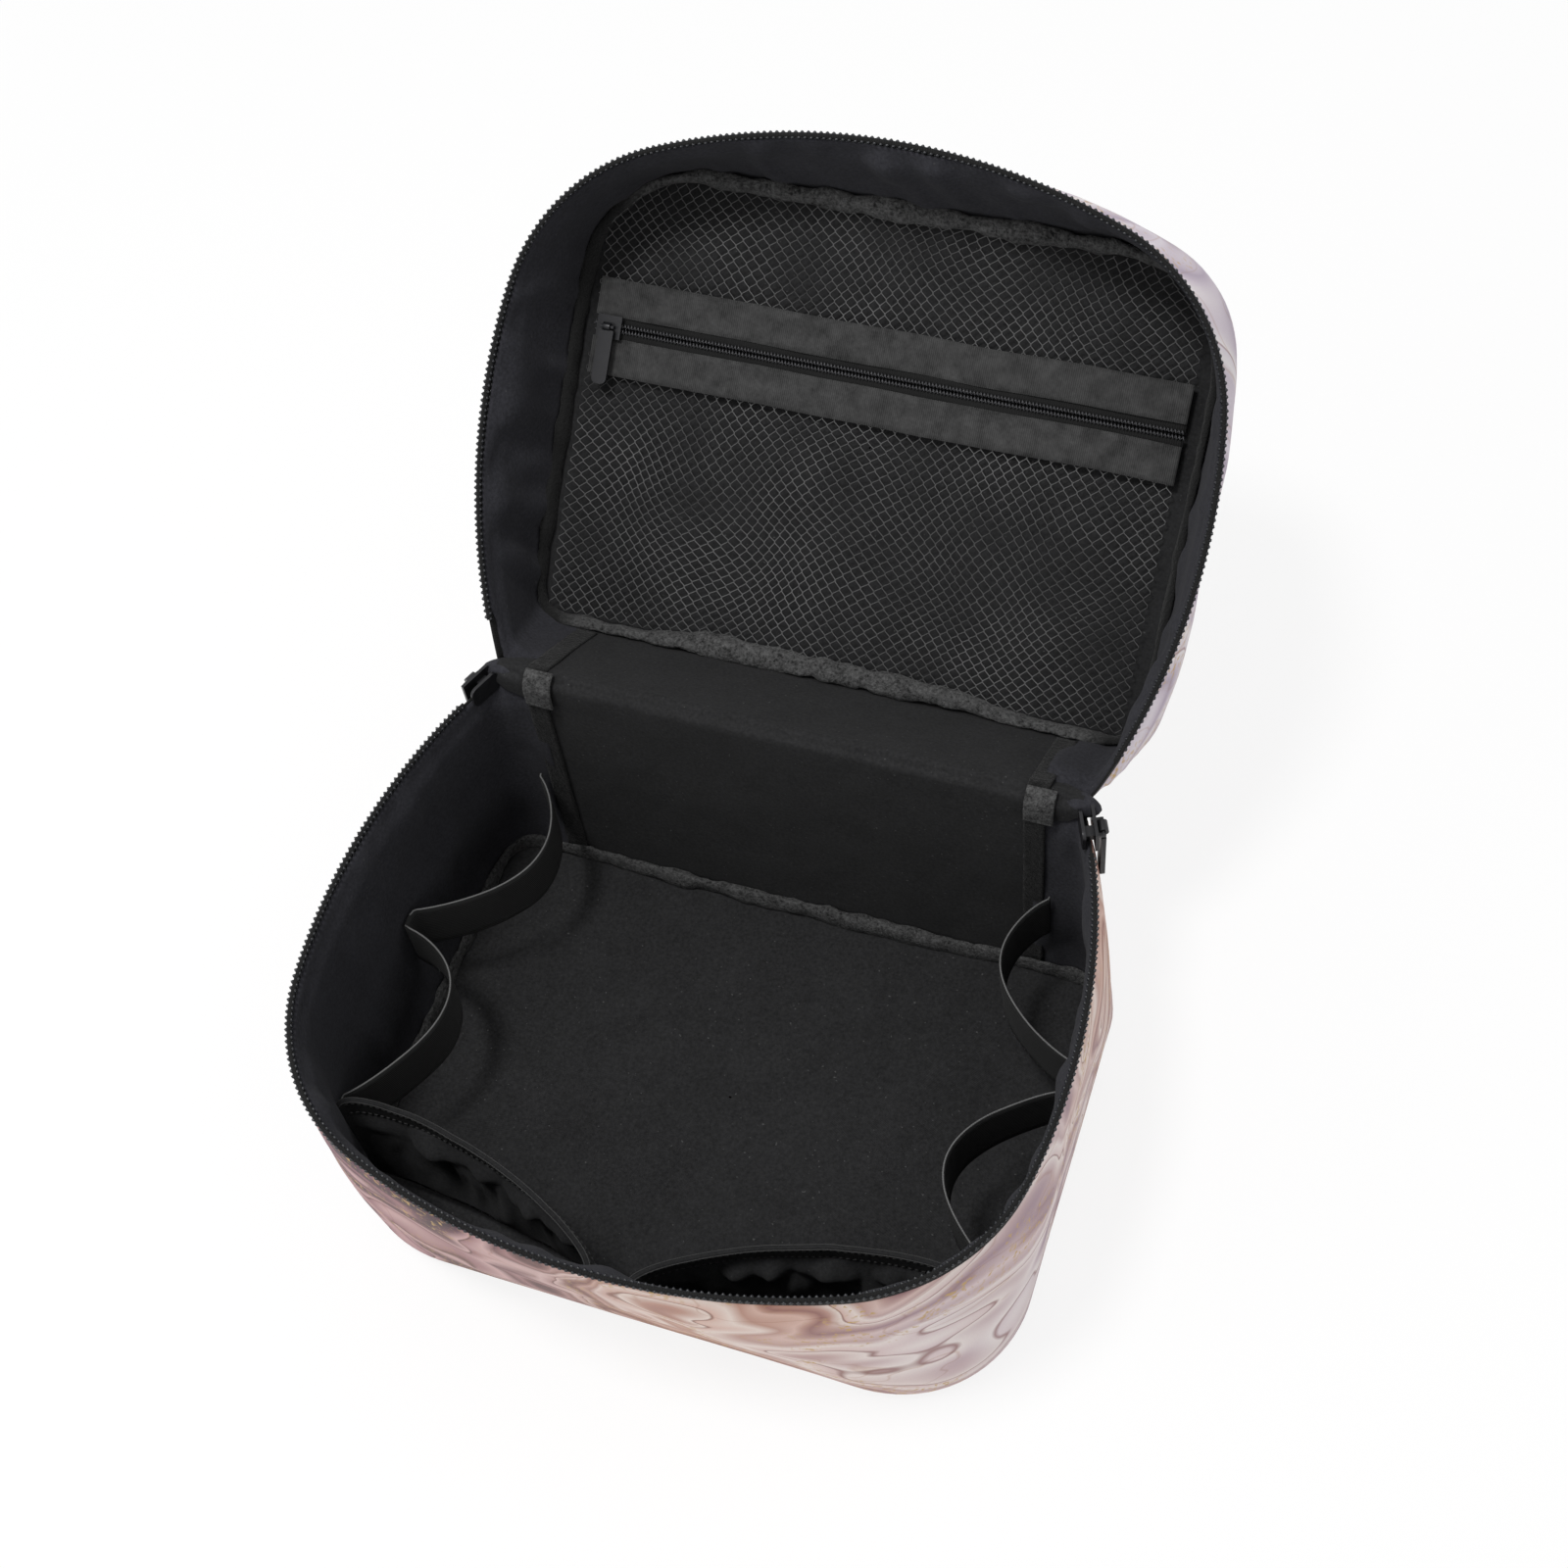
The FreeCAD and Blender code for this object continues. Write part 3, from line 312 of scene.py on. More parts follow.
class Graph:
    """Nodes of a material or of the world."""

    def __init__(self, tree):
        self.tree = tree

    def feed(self, socket, value):
        if isinstance(value, bpy.types.NodeSocket):
            self.tree.links.new(value, socket)
        else:
            socket.default_value = value

    def node(self, kind, inputs=None, **settings):
        item = assign(self.tree.nodes.new("ShaderNode" + kind), **settings)
        for key, value in (inputs or {}).items():
            self.feed(item.inputs[key], value)
        return item

    def math(self, operation, first, second=0.0, clamp=False):
        return self.node("Math", {0: first, 1: second}, operation=operation, use_clamp=clamp).outputs[0]

    plus = partialmethod(math, "ADD")
    minus = partialmethod(math, "SUBTRACT")
    times = partialmethod(math, "MULTIPLY")

    def near(self, value, middle, width):
        """How far a value lies within a width of a middle, and 0 beyond it."""
        return self.minus(width, self.math("ABSOLUTE", self.minus(value, middle)), True)

    def vector(self, operation, inputs):
        return self.node("VectorMath", inputs, operation=operation).outputs[0]

    def part(self, vector, axis):
        return self.node("SeparateXYZ", {0: vector}).outputs[axis]


class Look(Graph):
    """A material under way, with its shader and the coordinates that its patterns follow."""

    def __init__(self, name):
        self.material = bpy.data.materials.new(name)
        self.material.use_nodes = True
        super().__init__(self.material.node_tree)
        self.shader = self.tree.nodes["Principled BSDF"]
        spots = self.node("TexCoord").outputs
        self.place, self.uv = spots["Object"], spots["UV"]

    def noise(self, scale, detail=2.0, roughness=0.5, place=None, output="Fac"):
        inputs = {"Vector": place or self.place, "Scale": scale, "Detail": detail, "Roughness": roughness}
        return self.node("TexNoise", inputs).outputs[output]

    def mix(self, share, first, second, blend="MIX"):
        inputs = {0: share, 6: first, 7: second}
        return self.node("Mix", inputs, data_type="RGBA", blend_type=blend).outputs[2]

    def wave(self, axis, pitch):
        """Sine wave along one of the texture coordinates."""
        return self.math("SINE", self.times(self.part(self.uv, axis), 2 * math.pi / (pitch * MM)))

    def threads(self, pitch):
        """Plain weave on the texture coordinates, from 0 to 1."""
        return self.math("MULTIPLY_ADD", self.times(self.wave(0, pitch), self.wave(1, pitch)), 0.5)

    def done(self, colour, height, depth, **values):
        """The material, with its colour, bumps as deep as given and other inputs of its shader."""
        self.feed(self.shader.inputs["Base Color"], colour)
        for key, value in values.items():
            self.feed(self.shader.inputs[key.replace("_", " ")], value)
        bumps = self.node("Bump", {"Height": height, "Distance": depth * MM, "Strength": 1.0})
        self.feed(self.shader.inputs["Normal"], bumps.outputs["Normal"])
        return self.material


def grey(value, tint=0.0):
    return (value, value, value * (1.0 + tint), 1.0)


def cloth(name, dark, light, lint=0.0, tint=0.04):
    """Dull woven cloth: threads, uneven tone and a few specks of lint."""
    look = Look(name)
    fine = look.noise(850.0, 2.0, 0.7)
    uneven = look.noise(60.0, 4.0, 0.6)
    share = look.plus(look.times(fine, 1.3), look.times(uneven, 0.5))
    colour = look.mix(look.minus(share, 0.4, True), grey(dark, tint), grey(light, tint))
    if lint:
        amount = look.plus(look.noise(1000.0, 0.0), look.times(look.noise(30.0, 1.0), 0.12))
        bright = look.times(look.minus(amount, 0.87, True), 12.0, True)
        colour = look.mix(look.times(bright, lint), colour, grey(0.13))
    height = look.plus(look.times(look.threads(0.7), 0.6), look.times(fine, 0.5))
    return look.done(colour, height, 0.05, Roughness=0.95, Sheen_Weight=0.02, Sheen_Roughness=0.6,
                     Specular_IOR_Level=0.2)


def fuzzy(name, dark, light, shaded_from=None):
    """Brushed tape: soft lumps and short hairs, darker beyond a distance from the middle as painted shade."""
    look = Look(name)
    share = look.plus(look.times(look.noise(220.0, 5.0, 0.65), 0.6), look.noise(800.0, 2.0, 0.8))
    share = look.times(look.minus(share, 0.55), 2.0, True)
    colour = look.mix(share, grey(dark), grey(light))
    if shaded_from:
        sideways = look.math("ABSOLUTE", look.part(look.place, 0))
        beyond = look.times(look.minus(sideways, shaded_from * MM, True), 1 / (8 * MM), True)
        colour = look.mix(beyond, colour, grey(dark * 1.6))
    return look.done(colour, share, 0.5, Roughness=1.0, Sheen_Weight=0.06, Sheen_Roughness=0.5,
                     Specular_IOR_Level=0.1)


def ribbed(name, dark, light, pitch, depth, sheen, axis=0, contrast=0.4, patch_scale=70.0):
    """Cloth with ribs across one of its texture coordinates."""
    look = Look(name)
    wave = look.wave(axis, pitch)
    fuzz = look.noise(900.0, 3.0, 0.6)
    # Large patches of lighter and darker tone: uneven tone on most cloths, painted sheen and painted shade on
    # the net and the ribbons.
    uneven = look.minus(look.noise(patch_scale, 3.0, 0.6), 0.5)
    share = look.plus(look.plus(look.times(fuzz, 0.45), look.times(uneven, contrast)), 0.2)
    share = look.plus(share, look.times(wave, 0.12), True)
    height = look.plus(look.math("MULTIPLY_ADD", wave, 0.5), look.times(fuzz, 0.5))
    colour = look.mix(share, grey(dark), grey(light))
    return look.done(colour, height, depth, Roughness=0.9, Sheen_Weight=sheen, Sheen_Roughness=0.5,
                     Specular_IOR_Level=0.25)


def glossy(name, colour, rough, metallic=0.0):
    """Nylon or lacquer with a slightly uneven gloss."""
    look = Look(name)
    uneven = look.noise(300.0, 3.0, 0.6)
    darker, lighter = ((*[c * share for c in colour], 1.0) for share in (0.7, 1.3))
    shine = look.plus(look.times(uneven, 0.2), rough - 0.1)
    return look.done(look.mix(uneven, darker, lighter), uneven, 0.02, Roughness=shine, Metallic=metallic)


# Deep, middle, soft and pale tone and line colour of the print at the left, front and right
PRINT_TONES = (
    ((0.03, 0.006, 0.014), (0.11, 0.03, 0.05), (0.30, 0.13, 0.15), (0.60, 0.36, 0.36), (0.10, 0.03, 0.02)),
    ((0.30, 0.12, 0.09), (0.50, 0.27, 0.20), (0.69, 0.46, 0.38), (0.82, 0.69, 0.62), (0.26, 0.10, 0.06)),
    ((0.44, 0.36, 0.46), (0.62, 0.54, 0.62), (0.74, 0.68, 0.74), (0.84, 0.79, 0.80), (0.36, 0.22, 0.24)),
)
VEIN_TINT = (0.72, 0.56, 0.46, 1.0)
GOLD = (0.56, 0.36, 0.12, 1.0)
GRAIN = (0.25, 0.18, 0.18, 1.0)


def tones(look, value, deep, middle, soft, pale, line):
    """Soft bands of colours, with a thin line between two of them."""
    stops = [(0.0, soft), (0.16, middle), (0.30, pale), (0.47, soft), (0.495, line),
             (0.52, pale), (0.70, middle), (0.84, deep), (0.93, middle), (1.0, soft)]
    item = look.node("ValToRGB", {"Fac": value})
    band = item.color_ramp
    while len(band.elements) < len(stops):
        band.elements.new(1.0)
    for element, (place, colour) in zip(band.elements, stops):
        element.position = place
        element.color = (*colour, 1.0)
    return item.outputs["Color"]


def printed(name, shift):
    """Satin with a marbled print: flowing bands, thin veins and gold specks."""
    look = Look(name)
    warped = look.place
    for scale, amount in ((6.0, 0.16), (15.0, 0.05)):
        bend = look.noise(scale, 1.0, place=warped, output="Color")
        move = look.vector("SUBTRACT", {0: bend, 1: (0.5, 0.5, 0.5)})
        warped = look.vector("ADD", {0: warped, 1: look.vector("SCALE", {0: move, "Scale": amount})})
    bands = look.math("FRACT", look.times(look.noise(11.0, 2.0, 0.45, warped), 5.3))
    left, front, right = (tones(look, bands, *colours) for colours in PRINT_TONES)
    drift = look.plus(look.times(look.part(warped, 0), 8.0), look.times(look.noise(9.0, 3.0), 1.2))
    drift = look.plus(drift, shift)
    colour = look.mix(look.plus(drift, 0.02, True), left, front)
    colour = look.mix(look.minus(drift, 1.15, True), colour, right)
    fold = look.math("FRACT", look.times(look.noise(13.0, 3.0, 0.5, warped), 9.0))
    vein = look.times(look.near(fold, 0.5, 0.05), 11.0, True)
    colour = look.mix(vein, colour, look.mix(1.0, colour, VEIN_TINT, "MULTIPLY"))
    trail = look.times(look.near(look.noise(10.0, 4.0, 0.6, warped), 0.53, 0.05), 22.0, True)
    speck = look.times(look.minus(look.noise(500.0, 1.0), 0.56, True), 10.0, True)
    colour = look.mix(look.times(speck, trail), colour, GOLD)
    colour = look.mix(look.times(look.noise(1800.0, 1.0), 0.16), colour, GRAIN)
    height = look.plus(look.times(look.threads(0.5), 0.08), look.noise(45.0))
    return look.done(colour, height, 0.35, Roughness=0.6, Sheen_Weight=0.05, Sheen_Roughness=0.4,
                     Specular_IOR_Level=0.3)


PRINTS = {"base": printed("printed_satin", 0.0), "lid": printed("printed_satin_lid", 1.3)}
# Dark and light tone of each cloth, then the pitch and depth of its ribs
LINING = cloth("black_lining", 0.012, 0.043, lint=0.3, tint=0.2)
# This darker copy of the black lining, on the back wall and under the lid, is painted shade; the walls' copy
# above is lighter, painted light.
SHADED_LINING = cloth("black_lining_painted_shade", 0.006, 0.027, lint=0.4)
FLOOR_CLOTH = cloth("black_floor_lining", 0.007, 0.033, lint=0.5)
POCKET = cloth("pocket_cloth", 0.014, 0.042, lint=0.4)
HEM = cloth("hem_cloth", 0.008, 0.024)
# The lid's tape is a little lighter than the base's, painted light, and darker beyond 93 mm from the middle,
# painted shade.
BINDINGS = {"base": fuzzy("binding_tape", 0.010, 0.105), "lid": fuzzy("lid_binding_tape", 0.010, 0.115, 93.0)}
# The seam strips in the back corners use a darker copy of the binding tape: painted shade.
SHADED_SEAM_TAPE = fuzzy("seam_tape_painted_shade", 0.006, 0.024)
TAPE = ribbed("zipper_tape", 0.004, 0.013, 0.8, 0.12, sheen=0.02)
# The ribbons' large dark and light patches are painted shade of their wrinkles and painted sheen.
RIBBON = ribbed("net_ribbon", 0.004, 0.085, 0.7, 0.10, sheen=0.1, contrast=0.9, patch_scale=170.0)
ELASTIC = ribbed("elastic", 0.006, 0.022, 1.1, 0.15, sheen=0.03, axis=1)
# Light lines along the top edges of the elastic loops: painted highlight.
LOOP_EDGE_HIGHLIGHT = ribbed("elastic_edge_painted_highlight", 0.10, 0.22, 0.8, 0.1, sheen=0.05)
# Light line along the top edge of the pockets' hems: painted highlight.
HEM_HIGHLIGHT = ribbed("hem_edge_painted_highlight", 0.03, 0.07, 0.8, 0.1, sheen=0.05)
WEBBING = ribbed("webbing", 0.008, 0.03, 1.3, 0.3, sheen=0.08)
COIL = glossy("zipper_coil", (0.012, 0.013, 0.016), 0.3)
METAL = glossy("black_metal", (0.014, 0.014, 0.016), 0.36, 0.4)
NET_COIL = glossy("net_zipper_coil", (0.05, 0.05, 0.054), 0.34)
# The net's light tone and its large lighter and darker patches are painted sheen and painted shade of its
# drape.
NET = ribbed("net", 0.035, 0.20, 0.5, 0.05, sheen=0.05, contrast=2.2, patch_scale=22.0)
THREAD = ribbed("thread", 0.03, 0.08, 0.4, 0.05, sheen=0.05)


# Outside of the base and the lid

LIP_INSET = 0.7
EDGE_RADIUS = 5.0
SHELL_THICKNESS = 1.4
LID_SHELL_EDGE = 115.0
SLIDER_X, SLIDER_Y, SLIDER_CLEAR = 106.5, 79.2, 3.2


def beside_slider(points, edge):
    """Draws the lid's cloth back from where the main sliders stand when it is closed."""
    away = np.hypot(np.abs(points[..., 0]) - SLIDER_X, points[..., 1] - SLIDER_Y)
    lift = SLIDER_CLEAR * (1 - eased(away, 8.0, 13.0)) * (1 - eased(points[..., 2], edge, edge + 10.0))
    return points + lift[..., None] * (0.0, 0.0, 1.0)


def round_profile(edge_z, way, stop):
    """(inset, height) pairs: a panel's rounded edge, then the wall to where it turns in to the tape."""
    bend = [(EDGE_RADIUS * (1 - math.sin(a)), edge_z + way * EDGE_RADIUS * (1 - math.cos(a)))
            for a in np.linspace(0.0, math.pi / 2, 7)]
    wall = [(LIP_INSET * eased(way * (z - stop), -14.0, 0.0), z)
            for z in np.linspace(edge_z + way * EDGE_RADIUS, stop, 16)]
    lip = [(LIP_INSET + inward, stop + way * rise) for inward, rise in ((0.15, 0.6), (0.4, 1.1), (0.6, 1.3))]
    return bend + wall[1:] + lip


def outer_shell(part, edge_z, way, stop, seed):
    rows = round_profile(edge_z, way, stop)
    points = np.stack([at_height(full_ring(part, inset, z, AROUND), z) for inset, z in rows])
    swell = np.array([max(0.0, 1 - (2 * (z - (edge_z + stop) / 2) / (stop - edge_z)) ** 2) for _, z in rows])
    ripple = wobble(points, 34.0, 1.1, seed) + wobble(points, 13.0, 0.35, seed + 1, (1, 1, 0.6))
    points = push(points, -way * swell[:, None] * (0.9 + ripple), closed=True)
    if part == "lid":
        points = opened(beside_slider(points, LID_SHELL_EDGE))
    shell = thicken(grid_object(f"{part}_outside", points, PRINTS[part], closed=True), SHELL_THICKNESS, way)
    layers = [f"{part}_{panel}_{layer}" for panel in ("band", "back") for layer in ("outer", "foam")]
    dress(shell, part, "printed_satin", *layers)
    return shell


shells = {"base": outer_shell("base", edge_z=0.0, way=1, stop=103.9, seed=1.0),
          "lid": outer_shell("lid", edge_z=LID_TOP_Z, way=-1, stop=115.6, seed=2.0)}


def panel_object(name, part, inset, z, rings, material, dome=0.0, sag=0.0, seed=0.0):
    """Flat panel as rings that shrink to its middle, with a dome and some unevenness."""
    outline, _ = matched_half(part, inset)
    edge = resample(mirrored_path(outline), PANEL_AROUND + 1)[:-1]
    middle = np.array([0.0, PANELS[part][4]])
    points = np.stack([at_height(middle + (edge - middle) * share, z + dome * (1 - share ** 4))
                       for share in np.linspace(1.0, 0.004, rings)])
    fade = np.linspace(0.0, 1.0, rings)[:, None] ** 0.3
    points[..., 2] += fade * (wobble(points, 45.0, sag, seed) + wobble(points, 16.0, sag * 0.3, seed + 1))
    return grid_object(name, placed(part, points), material, closed=True)


PANEL_INSET = 4.6
bottom = panel_object("base_underside", "base", EDGE_RADIUS, 0.0, 8, PRINTS["base"])
thicken(bottom, 2.4, -1.0)
dress(bottom, "base", "printed_satin", "base_bottom_outer", "base_bottom_board")
lid_top = panel_object("lid_top", "lid", EDGE_RADIUS, LID_TOP_Z, 26, PRINTS["lid"],
                       dome=0.8, sag=0.4, seed=3.0)
thicken(lid_top, 0.8, 1.0)
dress(lid_top, "lid", "printed_satin", "lid_top_outer")
floor = panel_object("floor_lining_sheet", "base", PANEL_INSET, FLOOR_Z, 40, FLOOR_CLOTH,
                     dome=0.3, sag=0.7, seed=4.0)
dress(floor, "base", "black_lining", "floor_lining", "floor_foam")
lid_under = panel_object("lid_top_lining_sheet", "lid", PANEL_INSET, LID_UNDER_Z, 40, SHADED_LINING,
                         dome=-0.3, sag=0.8, seed=5.0)
dress(lid_under, "lid", "black_lining", "lid_top_lining", "lid_top_foam")


# Linings of the walls

WALL_LOW, LID_WALL_HIGH = 5.5, 157.6
BASE_BACK_Y = PANELS["base"][1] / 2
FOLD_CLEAR = 4.0
CREASE_SHARE = 0.45


def path_length(path):
    return float(run_along(path)[-1]) * MM


def lining_band(part, way, heights, pucker, seed, middle_z, cut_height):
    """Lining that leans from the wall onto the zipper tape at its edge."""
    edge = heights[-1]
    below = way * (heights - edge)
    insets = LINING_INSET - (1.5 * eased(below, -11.0, -2.4) + 0.95 * eased(below, -2.4, 0.0))
    points = np.stack([at_height(band_path(part, inset, z), z) for inset, z in zip(insets, heights)])
    loose = (1 - 0.8 * eased(below, -6.0, 0.0))[:, None]
    amount = wobble(points, 12.0, pucker, seed, (1, 1, 0.35)) + wobble(points, 38.0, pucker * 0.8, seed + 1)
    points = push(points, way * np.maximum(amount, -0.2) * loose)
    if part == "lid":
        points = opened(beside_slider(points, edge))
    item = thicken(grid_object(f"{part}_band_lining_sheet", points, LINING), 0.6)
    dress(item, part, "black_lining", f"{part}_band_lining")
    cut = (path_length(band_path(part, LINING_INSET, middle_z)), cut_height)
    return item


base_lining = lining_band("base", 1, np.linspace(WALL_LOW, 107.8, 64), pucker=3.0, seed=6.0,
                          middle_z=RIM_Z / 2, cut_height=0.101)
lining_band("lid", -1, np.linspace(LID_WALL_HIGH, 112.2, 38), pucker=4.0, seed=8.0,
            middle_z=136.0, cut_height=0.046)


def back_spot(part, depth, z):
    """(y, z) at a depth in the back wall, from a height with the lid closed."""
    if part == "base":
        return BASE_BACK_Y + (HINGE_Y - BASE_BACK_Y) * z / RIM_Z - depth, z
    y = HINGE_Y - LID_BACK_DRAFT * (z - RIM_Z) / (LID_TOP_Z - RIM_Z) - depth
    return tuple(opened([0.0, y, z])[1:])


def back_profile(depth, low, high):
    """(y, z, body share) up the base's back, round the fold and on along the lid's back."""
    rows = [(*back_spot("base", depth, z), 0.0) for z in np.linspace(low, RIM_Z - FOLD_CLEAR, 26)]
    for share in np.linspace(0.0, 1.0, 14):
        angle = -OPEN * share
        rows.append((HINGE_Y - depth * math.cos(angle), RIM_Z - depth * math.sin(angle), share))
    return rows + [(*back_spot("lid", depth, z), 1.0) for z in np.linspace(RIM_Z + FOLD_CLEAR, high, 14)]


def fold_strip(name, depth, low, high, left, right, material, columns, rough, seed,
               widen=0.0, furthest=1.0, crease=0.0):
    """Strip of cloth down the back wall and over the fold, where it can widen."""
    profile = [row for row in back_profile(depth, low, high) if row[2] <= furthest]
    rows = []
    for y, z, _ in profile:
        extra = widen * (1 - eased(math.hypot(y - HINGE_Y, z - RIM_Z), 4.5, 9.0))
        rows.append(level_row(np.linspace(left - extra, right + extra, columns), y, z))
    points = np.stack(rows)
    turns = np.array([share for _, _, share in profile])
    groove = -crease * np.exp(-((turns - CREASE_SHARE) / 0.13) ** 2)[:, None]
    amount = wobble(points, 24.0, rough, seed) + wobble(points, 8.0, rough * 0.4, seed + 1) + groove
    return grid_object(name, push(points, amount), material)


# Where pieces start and stop bending, as (y, z) from the fold's axis
INNER_SPAN = ((-4.0, -1.0), (3.2, 2.2))
OUTER_SPAN = ((-2.0, -3.0), (2.0, -1.0))


def dress_fold(item, span, slot, *nodes):
    """For a piece that runs from the base to the lid: bakes its place into its mesh and hides the solids that
    it stands for. The span and the slot are not used.
    """
    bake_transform(item)
    if nodes:
        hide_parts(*nodes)


back_lining = fold_strip("back_lining_sheet", LINING_INSET, WALL_LOW, LID_WALL_HIGH, -SEAM_X, SEAM_X,
                         SHADED_LINING, columns=90, rough=0.9, seed=10.0, widen=15.0, crease=1.1)
dress_fold(back_lining, INNER_SPAN, "black_lining", "base_back_lining", "lid_back_lining")
down_back = np.array([row[:2] for row in back_profile(LINING_INSET, WALL_LOW, LID_WALL_HIGH)])
path_length(down_back)

# Print over the outside of the fold, from the base's back to the lid's
rows = [back_spot("base", 0.3, z) for z in np.linspace(100.0, 107.0, 6)]
rows += [(HINGE_Y - 1.4, 109.0), (HINGE_Y - 0.8, 110.6), (HINGE_Y + 0.6, 110.9)]
rows += [back_spot("lid", 0.3, z) for z in np.linspace(113.0, 120.0, 6)]
points = np.stack([level_row(np.linspace(-103.0, 103.0, 60), y, z) for y, z in rows])
fold_cover = thicken(grid_object("fold_outside", points, PRINTS["base"]), 0.8, even=False)
dress_fold(fold_cover, OUTER_SPAN, "printed_satin", "hinge_fold")


# Bindings

RING = 320
LUMPS = 0.5
END_RADIUS, END_INNER_X, END_LENGTH = 3.9, 95.0, 14.0


def lumpy_ring(name, part, middle, half_depth, z, half_height, spread, seed):
    """Tape sewn round a seam: an uneven roll, flatter along the back and the front."""
    edge = full_ring(part, middle, z, RING)
    facing = np.abs(edge[:, 1] / np.maximum(np.abs(edge[:, 0]), 1.0))
    flat = eased(facing, 0.9, 1.5) * np.where(edge[:, 1] > 0, 1.0, 0.7)
    inner = middle + half_depth + spread * flat
    outer = middle - half_depth
    rows = []
    for angle in circle(14):
        c = abs(math.cos(angle)) ** 0.7 * np.sign(math.cos(angle))
        level = z + half_height * math.sin(angle)
        near = full_ring(part, outer, level, RING)
        far = full_ring(part, middle + half_depth + spread, level, RING)
        share = ((outer + inner) / 2 + c * (inner - outer) / 2 - outer) / (2 * half_depth + spread)
        rows.append(at_height(near + (far - near) * share[:, None], level))
    points = np.stack(rows + rows[:1])
    heart = points[:-1].mean(axis=0, keepdims=True)
    puff = (1.0 + wobble(np.broadcast_to(heart, points.shape), 11.0, LUMPS, seed)
            + wobble(points, 5.0, LUMPS * 0.7, seed + 1))
    points = heart + (points - heart) * puff[..., None]
    points[-1] = points[0]
    return grid_object(name, placed(part, points), BINDINGS[part], closed=True)


floor_binding = lumpy_ring("floor_binding_tape", "base", middle=6.0, half_depth=1.2, z=FLOOR_Z + 3.6,
                           half_height=4.0, spread=1.6, seed=12.0)
dress(floor_binding, "base", "binding_tape", "floor_binding")
lid_binding = lumpy_ring("lid_binding_tape", "lid", middle=6.2, half_depth=1.5, z=LID_UNDER_Z - 3.4,
                         half_height=3.4, spread=4.6, seed=14.0)
dress(lid_binding, "lid", "binding_tape", "lid_panel_binding")


def zipper_end(name, sign):
    """Tucked end of the zipper tape: a roll about the fold's axis, the same at any opening."""
    turn = -sign * circle(28)
    rows = []
    for share in np.linspace(0.0005, 0.9995, 22):
        reach = END_RADIUS * math.sin(math.pi * share) ** 0.5
        rows.append(np.stack([np.full(28, sign * (END_INNER_X + END_LENGTH * share)),
                              HINGE_Y + reach * np.cos(turn), RIM_Z + reach * np.sin(turn)], axis=1))
    points = np.stack(rows)
    heart = points.mean(axis=1, keepdims=True)
    points = heart + (points - heart) * (1.0 + wobble(points, 5.0, 0.18, 19.0 + sign))[..., None]
    return grid_object(name, points, LINING, closed=True)


for side, sign in SIDES:
    seam = sign * SEAM_X
    strip = fold_strip(f"seam_binding_{side}", 5.0, 12.0, 150.0, seam - 3.6, seam + 3.6, SHADED_SEAM_TAPE,
                       columns=9, rough=0.7, seed=16.0 + sign)
    thicken(strip, 1.0, even=False)
    dress_fold(strip, INNER_SPAN, "binding_tape", f"base_seam_binding_{side}", f"lid_seam_binding_{side}")
    patch = fold_strip(f"seam_patch_{side}", 5.9, 103.5, 117.0, seam - 3.5, seam + 6.5, BINDINGS["base"],
                       columns=11, rough=0.6, seed=18.0 + sign, furthest=0.65)
    thicken(patch, 0.9, even=False)
    dress_fold(patch, INNER_SPAN, "binding_tape")
    dress(zipper_end(f"zipper_end_{side}", sign), "base", "zipper_tape")


# Main zipper

PITCH = 2.1
TAPE_REACH, TAPE_GAP = 10.5, 1.4
COIL_HALF_WIDTH, COIL_HALF_HEIGHT, COIL_DROP, COIL_WIRE = 1.0, 0.55, 0.75, 0.46
COIL_STEPS = 12
CORD_RADIUS, CORD_DROP = 0.85, 0.9
BEAD_RADIUS, BEAD_DROP, BEAD_INSET = 0.42, 2.4, 0.45
BEAD_REACH = np.array([-0.6, 0.0, 0.6])
COIL_SKIP, BEAD_SKIP = 16.0, 17.0
DENSE = 4000


def mouth_path(count):
    """Along the rim, clear of the ends of the fold."""
    return resample(zipper_path("base", TAPE_INSET, RIM_Z, 2400), count, COIL_SKIP)


def zipper_tape(part, way):
    points = np.stack([at_height(zipper_path(part, TAPE_INSET, z, BAND), z)
                       for z in np.linspace(RIM_Z - way * TAPE_REACH, RIM_Z - way * TAPE_GAP, 8)])
    points = push(points, wobble(points, 15.0, 0.15, 20.0))
    return thicken(grid_object(f"{part}_tape", placed(part, points), TAPE), 0.7)


def coil_line(offset, way):
    """Coil along the mouth, one turn for each pitch, which stands up along both sides."""
    dense = mouth_path(DENSE)
    turns = int(run_along(dense)[-1] / PITCH) - 1
    steps = np.arange(turns * COIL_STEPS + 1)
    path = spots_along(dense, (steps / COIL_STEPS + offset) * PITCH)
    ahead = unit(np.gradient(path, axis=0))
    square = np.stack([ahead[:, 1], -ahead[:, 0]], axis=1)
    angle = 2 * math.pi * steps / COIL_STEPS
    out = path + square * (COIL_HALF_WIDTH * np.cos(angle))[:, None]
    level = RIM_Z + way * (COIL_HALF_HEIGHT * np.cos(2 * angle) - COIL_DROP)
    return np.concatenate([out, level[:, None]], axis=1)


def stitch_beads(part, z):
    """Row of short threads that hold the coil to its tape."""
    path = zipper_path(part, TAPE_INSET + BEAD_INSET, z, DENSE)
    spots = np.arange(BEAD_SKIP, run_along(path)[-1] - BEAD_SKIP, PITCH)
    return [placed(part, at_height(spots_along(path, spot + BEAD_REACH), z)) for spot in spots]


